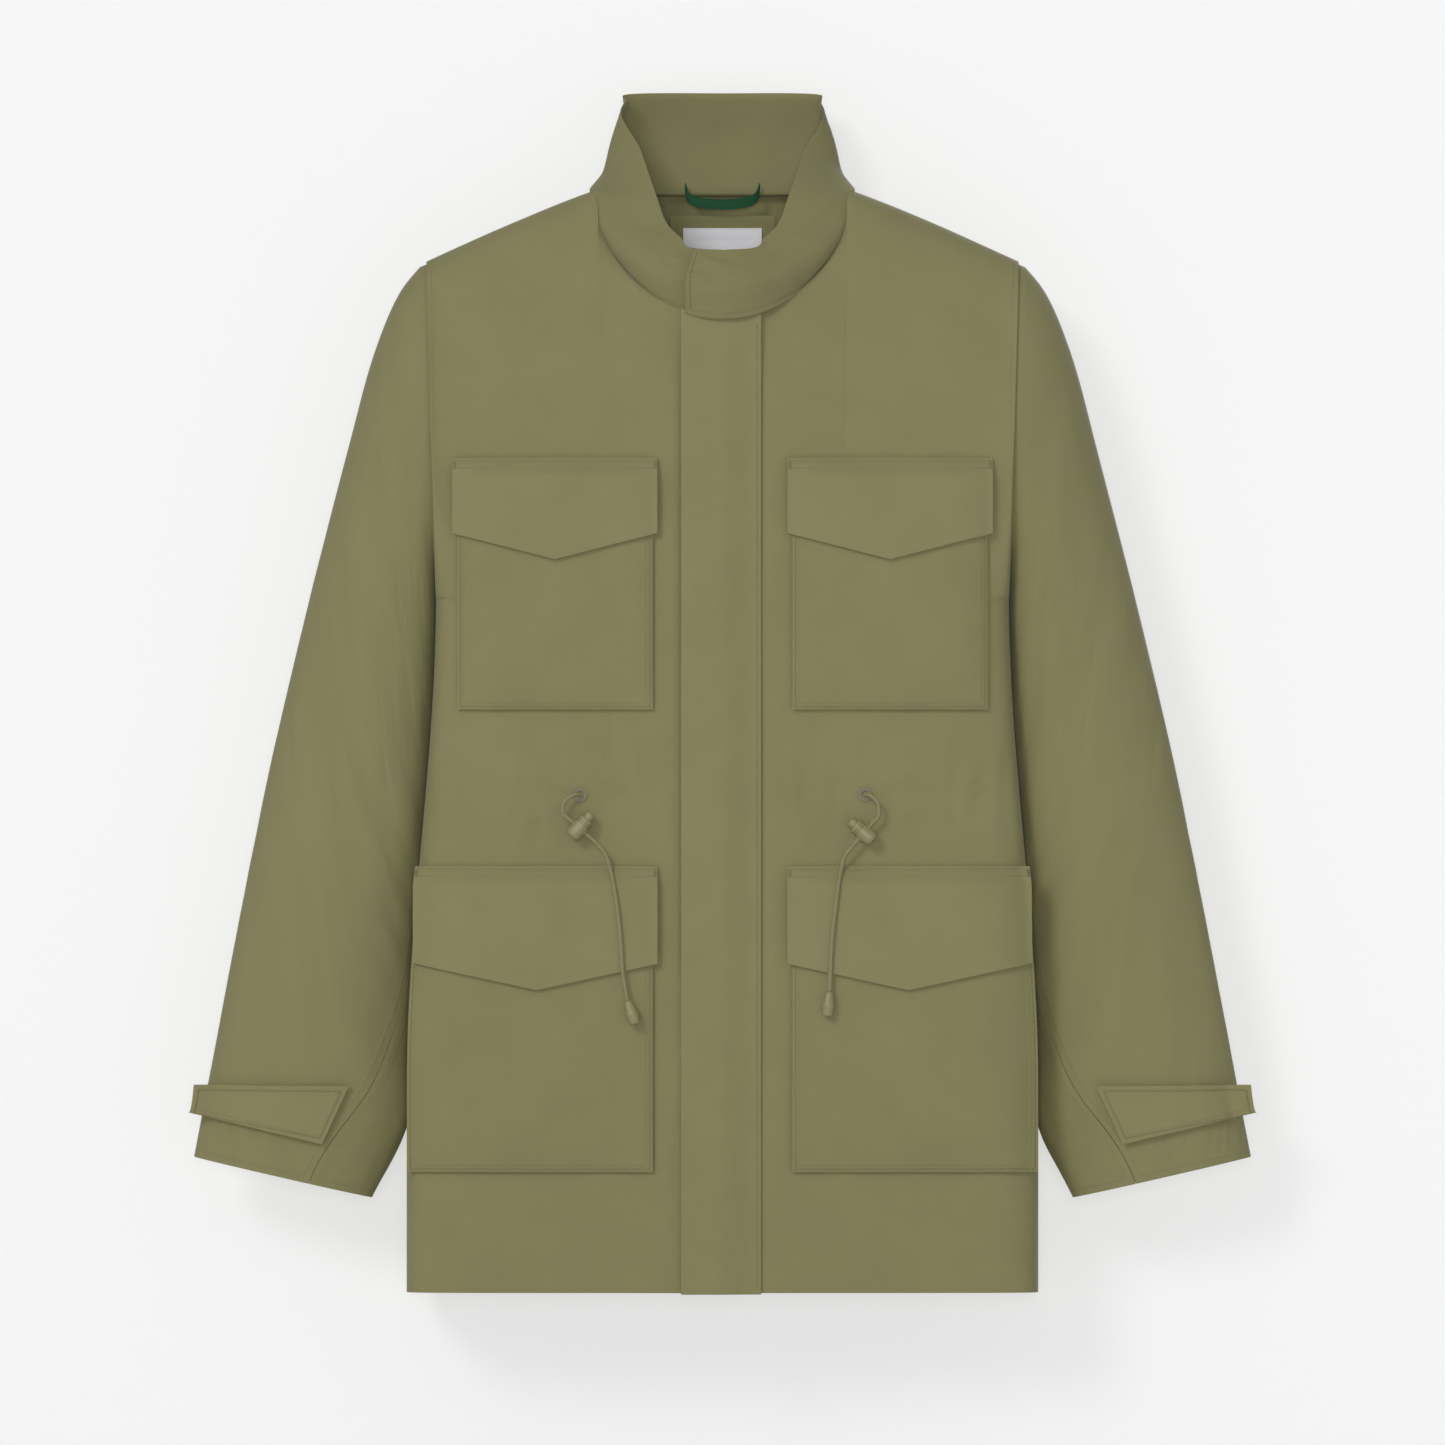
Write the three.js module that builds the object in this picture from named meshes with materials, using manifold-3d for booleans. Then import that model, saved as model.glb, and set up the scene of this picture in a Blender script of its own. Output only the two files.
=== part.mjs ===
// A field jacket, upright as it hangs on a hanger: front towards -Y, top towards +Z, millimetres.
// The origin is at the shoulder rest, level with the tops of the shoulder seams beside the neck.
// Left and right are the wearer's, so the left side of the jacket is at +X.
import * as THREE from 'three';
import Module from 'manifold-3d';
import { mergeVertices } from 'three/addons/utils/BufferGeometryUtils.js';

const wasm = await Module();
wasm.setup();

// ---- Body -------------------------------------------------------------------------------------
const BODY_LENGTH = 796;          // hem to the shoulder seam's neck end
const HEM_HALF_WIDTH = 228;
const CHEST_HALF_WIDTH = 207;
const SHOULDER_HALF_WIDTH = 214;
const SKIRT_STRAIGHT = 150;       // the hem's width holds up to here
const HALF_DEPTH = 55;
const SHOULDER_DROP = 52;         // neck end to sleeve end of the shoulder seam
const ARMHOLE_DEPTH = 296;        // below the shoulder seam's neck end
const ARMHOLE_HALF_DEPTH = 45;
const ARMHOLE_REACH = 12;         // how close to its edge the armhole lifts the front: higher is closer
const BODY_CORNER = 7;            // how square the body's section is: 2 is an ellipse
const FRONT_EDGE = 9;             // each front stops this far from the centre line
const CLOTH = 1.6;                // shell cloth with its interlining
const SEAM_GAP = 0.8;
const ARMHOLE_GAP = 1.3;
const LINING = 1;
const LINING_GAP = 1.5;           // waist channel to lining
const SLEEVE_LINING_INSET = 5.6;

// ---- Neck and collar --------------------------------------------------------------------------
const NECK_HALF_WIDTH = 90;
const NECK_DROP = 93;             // front neck point below the shoulder's neck end
const NECK_BACK_DEPTH = 45;
const COLLAR_HEIGHT = 68;
const COLLAR_BULGE = 6;
const COLLAR_GAP = 1.4;           // the collar stands this far above and inside the neck seam
const COLLAR_LAP = 8.2;           // how far the lapping end stands forward
const COLLAR_PLY = 1.5;
const COLLAR_PLY_GAP = 3.1;

// ---- Sleeves ----------------------------------------------------------------------------------
const SLEEVE_REACH = 154;         // hem's side out to the cuff's outer corner
const SLEEVE_DROP = 647;          // shoulder point down to the cuff's outer corner
const SLEEVE_SIDE_GAP = 1.8;      // the hanging sleeve lies this close to the body's side
const CUFF_WIDTH = 132;
const CUFF_TILT = THREE.MathUtils.degToRad(12.9);
const CUFF_HALF_DEPTH = 26;
const CUFF_TAB_WIDTH = 42;
const CUFF_TAB_RISE = 26;         // cuff hem up to the tab's lower edge

// ---- Pockets and flaps ------------------------------------------------------------------------
const POCKET_INNER = 50;          // centre line to the inner edge of every pocket
const CHEST_POCKET_WIDTH = 141;
const CHEST_FLAP_DROP = 195;      // shoulder's neck end down to the chest flap seam
const CHEST_POCKET_LENGTH = 181;  // flap seam down to the pocket's bottom
const CHEST_FLAP_LENGTH = 54;
const LOWER_POCKET_BOTTOM = 87;   // above the hem
const LOWER_POCKET_LENGTH = 220;
const LOWER_FLAP_LENGTH = 70;
const FLAP_POINT = 19;            // how far the middle of a flap drops below its corners
const FLAP_OVERHANG = 3.5;        // flap past the pocket on each side
const FLAP_THICKNESS = 2.2;
const FLAP_RAMP = 14;             // below the seam, the flap rises off the cloth over this length
const FLAP_ROOT_LIFT = 0.8;
const BELLOWS_DEPTH = 8.5;
const POCKET_CLOTH = 1.2;
const POCKET_LIFT = 0.7;
const POCKET_SIDE_INSET = 6;      // lower pocket's outer edge in from the body's side
const MOUTH_BELOW_SEAM = 20;
const SNAP_RADIUS = 5;

// ---- Fly and zip ------------------------------------------------------------------------------
const FLY_FREE_EDGE = -30;
const FLY_SEAM = 25;
const FLY_THICKNESS = 2.6;
const FLY_STANDOFF = 6.2;         // front cloth to the back of the fly
const FLY_SNAPS = 5;
const FLY_TOP_MARGIN = 2;         // below the front neck point
const ZIP_BOTTOM = 12;            // above the hem
const ZIP_TOP_MARGIN = 8;         // below the front neck point
const TOOTH_WIDTH = 2.6;
const TOOTH_DEPTH = 2;
const ZIP_TAPE = 13;
const SLIDER_LENGTH = 13;
const SLIDER_WIDTH = 10;
const PULL_LENGTH = 24;

// ---- Waist drawcord ---------------------------------------------------------------------------
const WAIST_HEIGHT = 359;         // above the hem
const CHANNEL_WIDTH = 22;
const CORD_RADIUS = 1.5;
const CORD_STANDOFF = 2.1;        // shell to the cord inside the channel
const CHANNEL_SLACK = 0.9;        // cord to channel
const CHANNEL_CLOTH = 0.7;
const EYELET_X = 102.5;
const EYELET_HOLE = 2.6;
const LOCK_LENGTH = 17;
const LOCK_RADIUS = 5.75;
const LOCK_STANDOFF = 8.4;        // front cloth to the lock's middle
const LOCK_TRAVEL = 4;            // along the cord, each way
const PLUNGER_RADIUS = 3.6;
const PLUNGER_SHOW = 5;
const PLUNGER_TRAVEL = 2.5;
const LOCK_FLOOR = 1.6;           // thickness of the lock's closed end
const CORD_CLEARANCE = 0.6;
const TAIL_PARTING = 0.8;          // below the lock's travel, where the tail starts to move with the flap
const CORD_END_LENGTH = 18;
const CORD_END_RADIUS = 4.7;

// ---- Neck label and hang loop -----------------------------------------------------------------
const FACING_WIDTH = 76;
const FACING_DROP = 18;
const LABEL_WIDTH = 57;
const LABEL_HEIGHT = 30;
const LOOP_WIDTH = 54;
const LOOP_SLACK = 5.5;            // how far the loop's middle stands off

// ---- Colours ----------------------------------------------------------------------------------
const OLIVE = 0x85815b;
const OLIVE_LIGHT = 0x88845e;
const COLLAR_OLIVE = 0x807c56;
const LINING_BROWN = 0x655b3b;
const LOOP_GREEN = 0x184529;
const LABEL_WHITE = 0xe5e3e6;
const CORD_OLIVE = 0x6b6640;
const LOCK_OLIVE = 0x88845f;
const STEEL = 0x9a9a96;
const DARK_TAPE = 0x4b4632;

// ---- Worked-out places ------------------------------------------------------------------------
const UNDERARM = BODY_LENGTH - ARMHOLE_DEPTH;
const NECK_FRONT = BODY_LENGTH - NECK_DROP;
const SHOULDER_POINT = BODY_LENGTH - SHOULDER_DROP;
const ZIP_TOP = NECK_FRONT - ZIP_TOP_MARGIN;
const FLY_LENGTH = NECK_FRONT - FLY_TOP_MARGIN + 1;
const FRONT_FACE = HALF_DEPTH + SEAM_GAP / 2;
const CHANNEL_INSET = CLOTH + CORD_STANDOFF + 2 * CORD_RADIUS + CHANNEL_SLACK;
const LINING_INSET = CHANNEL_INSET + CHANNEL_CLOTH + LINING_GAP;
const NECK_SHARE = NECK_HALF_WIDTH / SHOULDER_HALF_WIDTH;
const CHEST_FLAP_SEAM = BODY_LENGTH - CHEST_FLAP_DROP;
const LOWER_FLAP_SEAM = LOWER_POCKET_BOTTOM + LOWER_POCKET_LENGTH;

const jacket = new THREE.Group();
jacket.position.z = -BODY_LENGTH;

const { lerp, smoothstep, degToRad } = THREE.MathUtils;
const vector = (x, y, z) => new THREE.Vector3(x, y, z);

// ---- Helpers ----------------------------------------------------------------------------------

function addPiece(name, geometry, color, roughness = 0.9, metalness = 0) {
  const mesh = new THREE.Mesh(geometry, new THREE.MeshStandardMaterial({ color, roughness, metalness }));
  mesh.name = name;
  jacket.add(mesh);
  return mesh;
}

// Welds a geometry into one closed surface and turns its faces outwards.
function closed(geometry) {
  const bare = geometry.index ? geometry : geometry.clone();
  bare.deleteAttribute('normal');
  bare.deleteAttribute('uv');
  const welded = mergeVertices(bare, 1e-4);
  const index = Array.from(welded.index.array);
  const place = welded.attributes.position;
  const kept = [];
  let volume = 0;
  for (let i = 0; i < index.length; i += 3) {
    const [a, b, c] = index.slice(i, i + 3);
    if (a === b || b === c || c === a) continue;
    kept.push(a, b, c);
    const p = vector().fromBufferAttribute(place, a);
    const q = vector().fromBufferAttribute(place, b);
    const r = vector().fromBufferAttribute(place, c);
    volume += p.dot(q.cross(r));
  }
  if (volume < 0) kept.reverse();
  welded.setIndex(kept);
  return welded;
}

function toSolid(geometry) {
  const welded = closed(geometry);
  return new wasm.Manifold(new wasm.Mesh({
    numProp: 3,
    vertProperties: new Float32Array(welded.attributes.position.array),
    triVerts: new Uint32Array(welded.index.array),
  }));
}

function fromSolid(solid) {
  const mesh = solid.getMesh();
  const geometry = new THREE.BufferGeometry();
  geometry.setAttribute('position', new THREE.BufferAttribute(mesh.vertProperties, 3));
  geometry.setIndex(new THREE.BufferAttribute(mesh.triVerts, 1));
  return geometry;
}

function cut(geometry, ...tools) {
  return fromSolid(tools.reduce((solid, tool) => solid.subtract(toSolid(tool)), toSolid(geometry)));
}

function join(geometry, ...others) {
  return fromSolid(others.reduce((solid, other) => solid.add(toSolid(other)), toSolid(geometry)));
}

// A cloth panel: surface(u, v) for u and v from 0 to 1, thickened between two offsets along its normal.
// Offsets count away from the heart, a point on the inner side of the panel's middle.
function clothPanel(surface, columns, rows, inner, outer, heart) {
  const slab = new THREE.BoxGeometry(1, 1, 1, columns, rows, 1);
  const place = slab.attributes.position;
  const facing = Math.sign(surface(0.5, 0.5).sub(heart).dot(normalOf(surface, 0.5, 0.5)));
  for (let i = 0; i < place.count; i++) {
    const u = place.getX(i) + 0.5;
    const v = place.getY(i) + 0.5;
    const offset = facing * lerp(inner, outer, place.getZ(i) + 0.5);
    const point = surface(u, v).addScaledVector(normalOf(surface, u, v), offset);
    place.setXYZ(i, point.x, point.y, point.z);
  }
  return closed(slab);
}

function normalOf(surface, u, v) {
  const step = 2e-3;
  const midU = Math.min(1 - step, Math.max(step, u));
  const midV = Math.min(1 - step, Math.max(step, v));
  const alongU = surface(midU + step, midV).sub(surface(midU - step, midV));
  const alongV = surface(midU, midV + step).sub(surface(midU, midV - step));
  return alongU.cross(alongV).normalize();
}

// A sleeve-like tube of cloth: surface(u, v) closes on itself in u.
function clothTube(surface, around, rows, inner, outer, heart) {
  const profile = [];
  for (let i = 0; i <= rows; i++) profile.push(new THREE.Vector2(2, i / rows));
  for (let i = rows; i >= 0; i--) profile.push(new THREE.Vector2(1, i / rows));
  profile.push(profile[0].clone());
  const lathe = new THREE.LatheGeometry(profile, around);
  const place = lathe.attributes.position;
  const facing = Math.sign(surface(0.5, 0.5).sub(heart).dot(normalOf(surface, 0.5, 0.5)));
  for (let i = 0; i < place.count; i++) {
    const turn = Math.atan2(place.getZ(i), place.getX(i)) / (2 * Math.PI);
    const share = Math.hypot(place.getX(i), place.getZ(i)) - 1;
    const u = turn + 0.5;
    const v = place.getY(i);
    const point = surface(u, v).addScaledVector(normalOf(surface, u, v), facing * lerp(inner, outer, share));
    place.setXYZ(i, point.x, point.y, point.z);
  }
  return closed(lathe);
}

// A round turned piece about an axis, from (radius, height) pairs that start and end on the axis.
function turned(pairs, sides = 16) {
  return closed(new THREE.LatheGeometry(pairs.map(([r, h]) => new THREE.Vector2(r, h)), sides));
}

function peg(radius, length, sides = 16) {
  return new THREE.CylinderGeometry(radius, radius, length, sides);
}

function box(x0, x1, y0, y1, z0, z1) {
  const shape = new THREE.BoxGeometry(x1 - x0, y1 - y0, z1 - z0);
  return shape.translate((x0 + x1) / 2, (y0 + y1) / 2, (z0 + z1) / 2);
}

// ---- The body's surface -----------------------------------------------------------------------

function halfWidth(z) {
  return lerp(HEM_HALF_WIDTH, CHEST_HALF_WIDTH, smoothstep(z, SKIRT_STRAIGHT, UNDERARM));
}

function topEdge(face, share) {
  const x = Math.abs(share) * SHOULDER_HALF_WIDTH;
  if (x >= NECK_HALF_WIDTH) {
    const along = (x - NECK_HALF_WIDTH) / (SHOULDER_HALF_WIDTH - NECK_HALF_WIDTH);
    return { depth: 0, z: BODY_LENGTH - SHOULDER_DROP * along ** 1.1 };
  }
  const round = Math.sqrt(Math.max(0, 1 - (x / NECK_HALF_WIDTH) ** 2));
  if (face > 0) return { depth: NECK_BACK_DEPTH * round, z: BODY_LENGTH };
  return { depth: HALF_DEPTH * round, z: BODY_LENGTH - NECK_DROP * round };
}

// A point of the body. face is -1 in front and 1 behind, share runs from -1 to 1 across, and level is
// 0 at the hem, 1 at the underarm and 2 at the neck and shoulder seams.
function bodyPoint(face, share, level) {
  const round = (1 - Math.min(1, Math.abs(share)) ** BODY_CORNER) ** (1 / BODY_CORNER);
  if (level <= 1) {
    const z = level * UNDERARM;
    return vector(share * halfWidth(z), face * (SEAM_GAP / 2 + HALF_DEPTH * round), z);
  }
  const rise = Math.min(1, level - 1);
  const top = topEdge(face, share);
  const side = ARMHOLE_HALF_DEPTH * 2 * Math.sqrt(rise * (1 - rise));
  const roll = 1 - (1 - rise ** 2.4) ** (1 / 2.4);
  const middle = lerp(HALF_DEPTH, top.depth, roll);
  return vector(
    share * lerp(CHEST_HALF_WIDTH, SHOULDER_HALF_WIDTH, rise),
    face * (SEAM_GAP / 2 + middle * round + Math.abs(share) ** ARMHOLE_REACH * side * (1 - round)),
    lerp(UNDERARM, top.z, rise),
  );
}

function levelAt(v) {
  return v <= 0.5 ? 2 * v : 1 + (1 - Math.cos(Math.PI * (2 * v - 1))) / 2;
}

// Columns crowd towards the neck end of the shoulder seam and towards the side, where the cloth turns.
function shareAt(u, from) {
  const neckColumn = 5 / 12;
  if (u <= neckColumn) return lerp(from, NECK_SHARE, Math.sin((u / neckColumn) * Math.PI / 2));
  return lerp(NECK_SHARE, 1, Math.sin(((u - neckColumn) / (1 - neckColumn)) * Math.PI / 2));
}

function frontSurface(side) {
  return (u, v) => {
    const level = levelAt(v);
    const rim = level <= 1 ? halfWidth(level * UNDERARM) : lerp(CHEST_HALF_WIDTH, SHOULDER_HALF_WIDTH, level - 1);
    return bodyPoint(-1, side * shareAt(side > 0 ? u : 1 - u, FRONT_EDGE / rim), level);
  };
}

function backSurface(u, v) {
  const across = 1 - 2 * u;
  return bodyPoint(1, Math.sign(across) * shareAt(Math.abs(across), 0), levelAt(v));
}

// A point of the body's front over a place (x, z), found by stepping the level until it fits.
function onFront(x, z) {
  if (z <= UNDERARM) return bodyPoint(-1, x / halfWidth(z), z / UNDERARM);
  let level = 1.5;
  let share = 0;
  for (let i = 0; i < 12; i++) {
    share = x / lerp(CHEST_HALF_WIDTH, SHOULDER_HALF_WIDTH, level - 1);
    level = 1 + (z - UNDERARM) / (topEdge(-1, share).z - UNDERARM);
  }
  return bodyPoint(-1, share, level);
}

// ---- The sleeves' surface ---------------------------------------------------------------------

const cuffCorner = vector(HEM_HALF_WIDTH + SLEEVE_REACH, 0, SHOULDER_POINT - SLEEVE_DROP);
const cuffInner = cuffCorner.clone().sub(vector(Math.cos(CUFF_TILT), 0, Math.sin(CUFF_TILT)).multiplyScalar(CUFF_WIDTH));
const sleeveTop = vector(SHOULDER_HALF_WIDTH + ARMHOLE_GAP, 0, SHOULDER_POINT);
const sleeveUnder = vector(CHEST_HALF_WIDTH + ARMHOLE_GAP, 0, UNDERARM);
const outerLine = new THREE.CatmullRomCurve3([
  sleeveTop,
  vector(SHOULDER_HALF_WIDTH + 19, 0, SHOULDER_POINT - 22),
  vector(SHOULDER_HALF_WIDTH + 37, 0, SHOULDER_POINT - 64),
  vector(SHOULDER_HALF_WIDTH + 57, 0, SHOULDER_POINT - 137),
  sleeveTop.clone().lerp(cuffCorner, 0.55).add(vector(18, 0, 0)),
  cuffCorner,
], false, 'centripetal');
const besideBody = [0.1, 0.25, 0.42, 0.6, 0.76, 0.87].map((share) => {
  const z = lerp(sleeveUnder.z, cuffInner.z, share);
  return vector(halfWidth(z) + SLEEVE_SIDE_GAP, 0, z);
});
const innerLine = new THREE.CatmullRomCurve3([sleeveUnder, ...besideBody, cuffInner], false, 'centripetal');

// turn is 0 on the outer line, a quarter turn in front, half a turn on the inner line.
function sleevePoint(side, turn, along) {
  const outer = outerLine.getPointAt(Math.min(1, Math.max(0, along)));
  const inner = innerLine.getPointAt(Math.min(1, Math.max(0, along)));
  const depth = lerp(ARMHOLE_HALF_DEPTH, CUFF_HALF_DEPTH, along ** 0.8);
  const middle = outer.clone().add(inner).multiplyScalar(0.5);
  const point = middle.addScaledVector(outer.sub(inner).multiplyScalar(0.5), Math.cos(turn));
  point.y = -depth * Math.sin(turn);
  point.x *= side;
  return point;
}

const frontSeamTurn = (along) => degToRad(lerp(168, 107.5, smoothstep(along, 0.55, 1)));
const BACK_SEAM_TURN = degToRad(-125);
const SEAM_TURN = 0.012;

function upperSleeve(side) {
  return (u, v) => {
    const turn = lerp(BACK_SEAM_TURN + SEAM_TURN, frontSeamTurn(v) - SEAM_TURN, u);
    return sleevePoint(side, turn, v);
  };
}

function underSleeve(side) {
  return (u, v) => {
    const turn = lerp(frontSeamTurn(v) + SEAM_TURN, 2 * Math.PI + BACK_SEAM_TURN - SEAM_TURN, u);
    return sleevePoint(side, turn, v);
  };
}

// The turn and the distance along the sleeve of a place (x, z) on the sleeve's front.
function placeOnSleeve(x, z) {
  let low = 0.3;
  let high = 1;
  for (let i = 0; i < 30; i++) {
    const along = (low + high) / 2;
    const outer = outerLine.getPointAt(along);
    const inner = innerLine.getPointAt(along);
    const above = (outer.x - inner.x) * (z - inner.z) - (outer.z - inner.z) * (x - inner.x);
    if (above > 0) high = along;
    else low = along;
  }
  const outer = outerLine.getPointAt(low);
  const inner = innerLine.getPointAt(low);
  const across = 2 * (x - inner.x) / (outer.x - inner.x) - 1;
  return { turn: Math.acos(Math.max(-1, Math.min(1, across))), along: low };
}

// ---- Shell ------------------------------------------------------------------------------------

const SIDES = [['left', 1], ['right', -1]];
const bodyHeart = vector(0, 0, UNDERARM);

function sleeveHeart(side) {
  return sleevePoint(side, 0, 0.5).add(sleevePoint(side, Math.PI, 0.5)).multiplyScalar(0.5);
}

function eyeletPlace(side) {
  return onFront(side * EYELET_X, WAIST_HEIGHT);
}

function addShell() {
  for (const [name, side] of SIDES) {
    const panel = clothPanel(frontSurface(side), 12, 12, -CLOTH, 0, bodyHeart);
    const hole = peg(EYELET_HOLE + 1.2, 12).translate(...eyeletPlace(side).toArray());
    addPiece(`front_${name}`, cut(panel, hole), OLIVE);
    const heart = sleeveHeart(side);
    addPiece(`sleeve_upper_${name}`, clothPanel(upperSleeve(side), 12, 10, -CLOTH, 0, heart), OLIVE);
    addPiece(`sleeve_under_${name}`, clothPanel(underSleeve(side), 5, 10, -CLOTH, 0, heart), OLIVE);
  }
  addPiece('back_panel', clothPanel(backSurface, 24, 12, -CLOTH, 0, bodyHeart), OLIVE);
}

// The lining is a smaller body inside the shell, short of its edges.
function liningSurface(surface) {
  return (u, v) => {
    const point = surface(lerp(0.02, 0.98, u), lerp(0.02, 0.92, v));
    point.x *= 1 - LINING_INSET / CHEST_HALF_WIDTH;
    point.y *= 1 - LINING_INSET / HALF_DEPTH;
    point.z -= LINING_INSET * smoothstep(point.z, UNDERARM, BODY_LENGTH);
    return point;
  };
}

function addLining() {
  for (const [name, side] of SIDES) {
    const front = clothPanel(liningSurface(frontSurface(side)), 8, 8, -LINING, 0, bodyHeart);
    addPiece(`lining_front_${name}`, front, LINING_BROWN, 0.6);
    const around = (u, v) => sleevePoint(side, 2 * Math.PI * u, lerp(0.09, 0.965, v));
    const sleeve = clothTube(around, 12, 10, -SLEEVE_LINING_INSET - LINING, -SLEEVE_LINING_INSET, sleeveHeart(side));
    addPiece(`lining_sleeve_${name}`, sleeve, LINING_BROWN, 0.6);
  }
  addPiece('lining_back', clothPanel(liningSurface(backSurface), 14, 8, -LINING, 0, bodyHeart), LINING_BROWN, 0.6);
}

// ---- Collar, neck label and hang loop ---------------------------------------------------------

// Half the collar's top edge, from front centre to back centre: shares of the neck's half-width and of
// its depth, and the dip below the highest line.
const rimShape = new THREE.CatmullRomCurve3([
  vector(0, -0.93, NECK_DROP + 20),
  vector(0.31, -0.84, NECK_DROP + 18),
  vector(0.52, -0.52, 78),
  vector(0.66, -0.05, 42),
  vector(0.77, 0.4, 9),
  vector(0.5, 0.86, 0),
  vector(0, 0.95, 0),
]);
const NECK_LAP_TURN = Math.asin(-FLY_FREE_EDGE * 0.9 / NECK_HALF_WIDTH);
const UNDERLAP_TURN = 0.06;

// turn is 0 at the front centre and grows towards +X; rise is 0 at the neck seam and 1 at the top edge.
function collarPoint(turn, rise) {
  const face = Math.cos(turn) > 0 ? -1 : 1;
  const depth = face < 0 ? HALF_DEPTH : NECK_BACK_DEPTH;
  const round = Math.abs(Math.cos(turn));
  const foot = vector(
    (NECK_HALF_WIDTH - COLLAR_GAP) * Math.sin(turn),
    face * (depth - COLLAR_GAP) * round,
    BODY_LENGTH + COLLAR_GAP - (face < 0 ? NECK_DROP * round : 0),
  );
  const half = Math.acos(Math.cos(turn)) / Math.PI;
  const shape = rimShape.getPoint(half);
  const rim = vector(
    Math.sign(Math.sin(turn)) * shape.x * NECK_HALF_WIDTH,
    shape.y * (shape.y < 0 ? HALF_DEPTH : NECK_BACK_DEPTH),
    BODY_LENGTH + COLLAR_HEIGHT - shape.z,
  );
  const bulge = COLLAR_BULGE * Math.sin(Math.PI * rise);
  return foot.lerp(rim, rise).add(vector(Math.sin(turn) * bulge, -Math.cos(turn) * bulge, 0));
}

// The collar runs from its under end, round the back, to the end that laps over the front centre.
function collarSurface(u, v) {
  const turn = lerp(UNDERLAP_TURN, -2 * Math.PI - NECK_LAP_TURN, u);
  const lap = COLLAR_LAP * smoothstep(-turn, 2 * Math.PI - 0.9, 2 * Math.PI - 0.12);
  return collarPoint(turn, v).add(vector(0, -lap, 0));
}

function addCollar() {
  const heart = vector(0, 0, BODY_LENGTH);
  addPiece('collar_outer', clothPanel(collarSurface, 36, 3, -COLLAR_PLY, 0, heart), COLLAR_OLIVE);
  const inside = -COLLAR_PLY - COLLAR_PLY_GAP;
  addPiece('collar_inner', clothPanel(collarSurface, 36, 3, inside - COLLAR_PLY, inside, heart), COLLAR_OLIVE);
}

function addNeckTrim() {
  const heart = vector(0, 0, BODY_LENGTH - FACING_DROP - LABEL_HEIGHT);
  const patch = (width, top, height, inner) => clothPanel(
    (u, v) => {
      const x = lerp(-width / 2, width / 2, u);
      const z = top - height * (1 - v);
      return onBack(x, z);
    }, 8, 3, -inner - 0.8, -inner, heart);
  const top = BODY_LENGTH - FACING_DROP;
  addPiece('neck_facing', patch(FACING_WIDTH, top, LABEL_HEIGHT + 34, LINING_INSET + LINING + 3.2), OLIVE);
  addPiece('neck_label', patch(LABEL_WIDTH, top - 9, LABEL_HEIGHT, LINING_INSET + LINING + 4.6), LABEL_WHITE, 0.7);
  const loopY = NECK_BACK_DEPTH - 2 * COLLAR_PLY - COLLAR_PLY_GAP - COLLAR_GAP - 4;
  const loop = new THREE.CatmullRomCurve3([
    vector(-LOOP_WIDTH / 2, loopY, BODY_LENGTH + 2),
    vector(-LOOP_WIDTH / 2 + 5, loopY - 3.5, BODY_LENGTH - 5),
    vector(0, loopY - LOOP_SLACK, BODY_LENGTH - 9),
    vector(LOOP_WIDTH / 2 - 5, loopY - 3.5, BODY_LENGTH - 5),
    vector(LOOP_WIDTH / 2, loopY, BODY_LENGTH + 2),
  ]);
  const band = new THREE.Shape().moveTo(-0.5, -3.2).lineTo(0.5, -3.2).lineTo(0.5, 3.2).lineTo(-0.5, 3.2);
  addPiece('hang_loop', closed(tubeAlong(band, loop, 20)), LOOP_GREEN, 0.6);
}

function tubeAlong(section, path, steps) {
  return new THREE.ExtrudeGeometry(section, { steps, extrudePath: path, bevelEnabled: false, curveSegments: 2 });
}

function onBack(x, z) {
  let level = 1.8;
  let share = 0;
  for (let i = 0; i < 12; i++) {
    share = x / lerp(CHEST_HALF_WIDTH, SHOULDER_HALF_WIDTH, level - 1);
    level = 1 + (z - UNDERARM) / (topEdge(1, share).z - UNDERARM);
  }
  return bodyPoint(1, share, level);
}

// ---- Pockets and flaps ------------------------------------------------------------------------

// A point raised off the front cloth, square to it.
function raisedFront(x, z, raise) {
  const step = 0.4;
  const across = onFront(x + step, z).sub(onFront(x - step, z));
  const up = onFront(x, z + step).sub(onFront(x, z - step));
  return onFront(x, z).addScaledVector(across.cross(up).normalize(), raise);
}

const POCKETS = [
  {
    name: 'chest',
    bottom: CHEST_FLAP_SEAM - CHEST_POCKET_LENGTH,
    seam: CHEST_FLAP_SEAM,
    flapLength: CHEST_FLAP_LENGTH,
    outerEdge: () => POCKET_INNER + CHEST_POCKET_WIDTH,
  },
  {
    name: 'lower',
    bottom: LOWER_POCKET_BOTTOM,
    seam: LOWER_FLAP_SEAM,
    flapLength: LOWER_FLAP_LENGTH,
    outerEdge: (z) => halfWidth(z) - POCKET_SIDE_INSET,
  },
];

function pocketBody(side, pocket) {
  const mouth = pocket.seam - MOUTH_BELOW_SEAM;
  const region = (wall, top) => (u, v) => {
    const z = lerp(pocket.bottom + wall, top, v);
    const x = lerp(POCKET_INNER + wall, pocket.outerEdge(z) - wall, Math.sin(u * Math.PI / 2));
    return raisedFront(side * x, z, 0);
  };
  const back = POCKET_LIFT + POCKET_CLOTH;
  const front = POCKET_LIFT + BELLOWS_DEPTH;
  const skin = clothPanel(region(0, mouth), 8, 3, POCKET_LIFT, front, bodyHeart);
  const room = clothPanel(region(POCKET_CLOTH, mouth + 3), 8, 3, back, front - POCKET_CLOTH, bodyHeart);
  return cut(skin, room);
}

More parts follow.
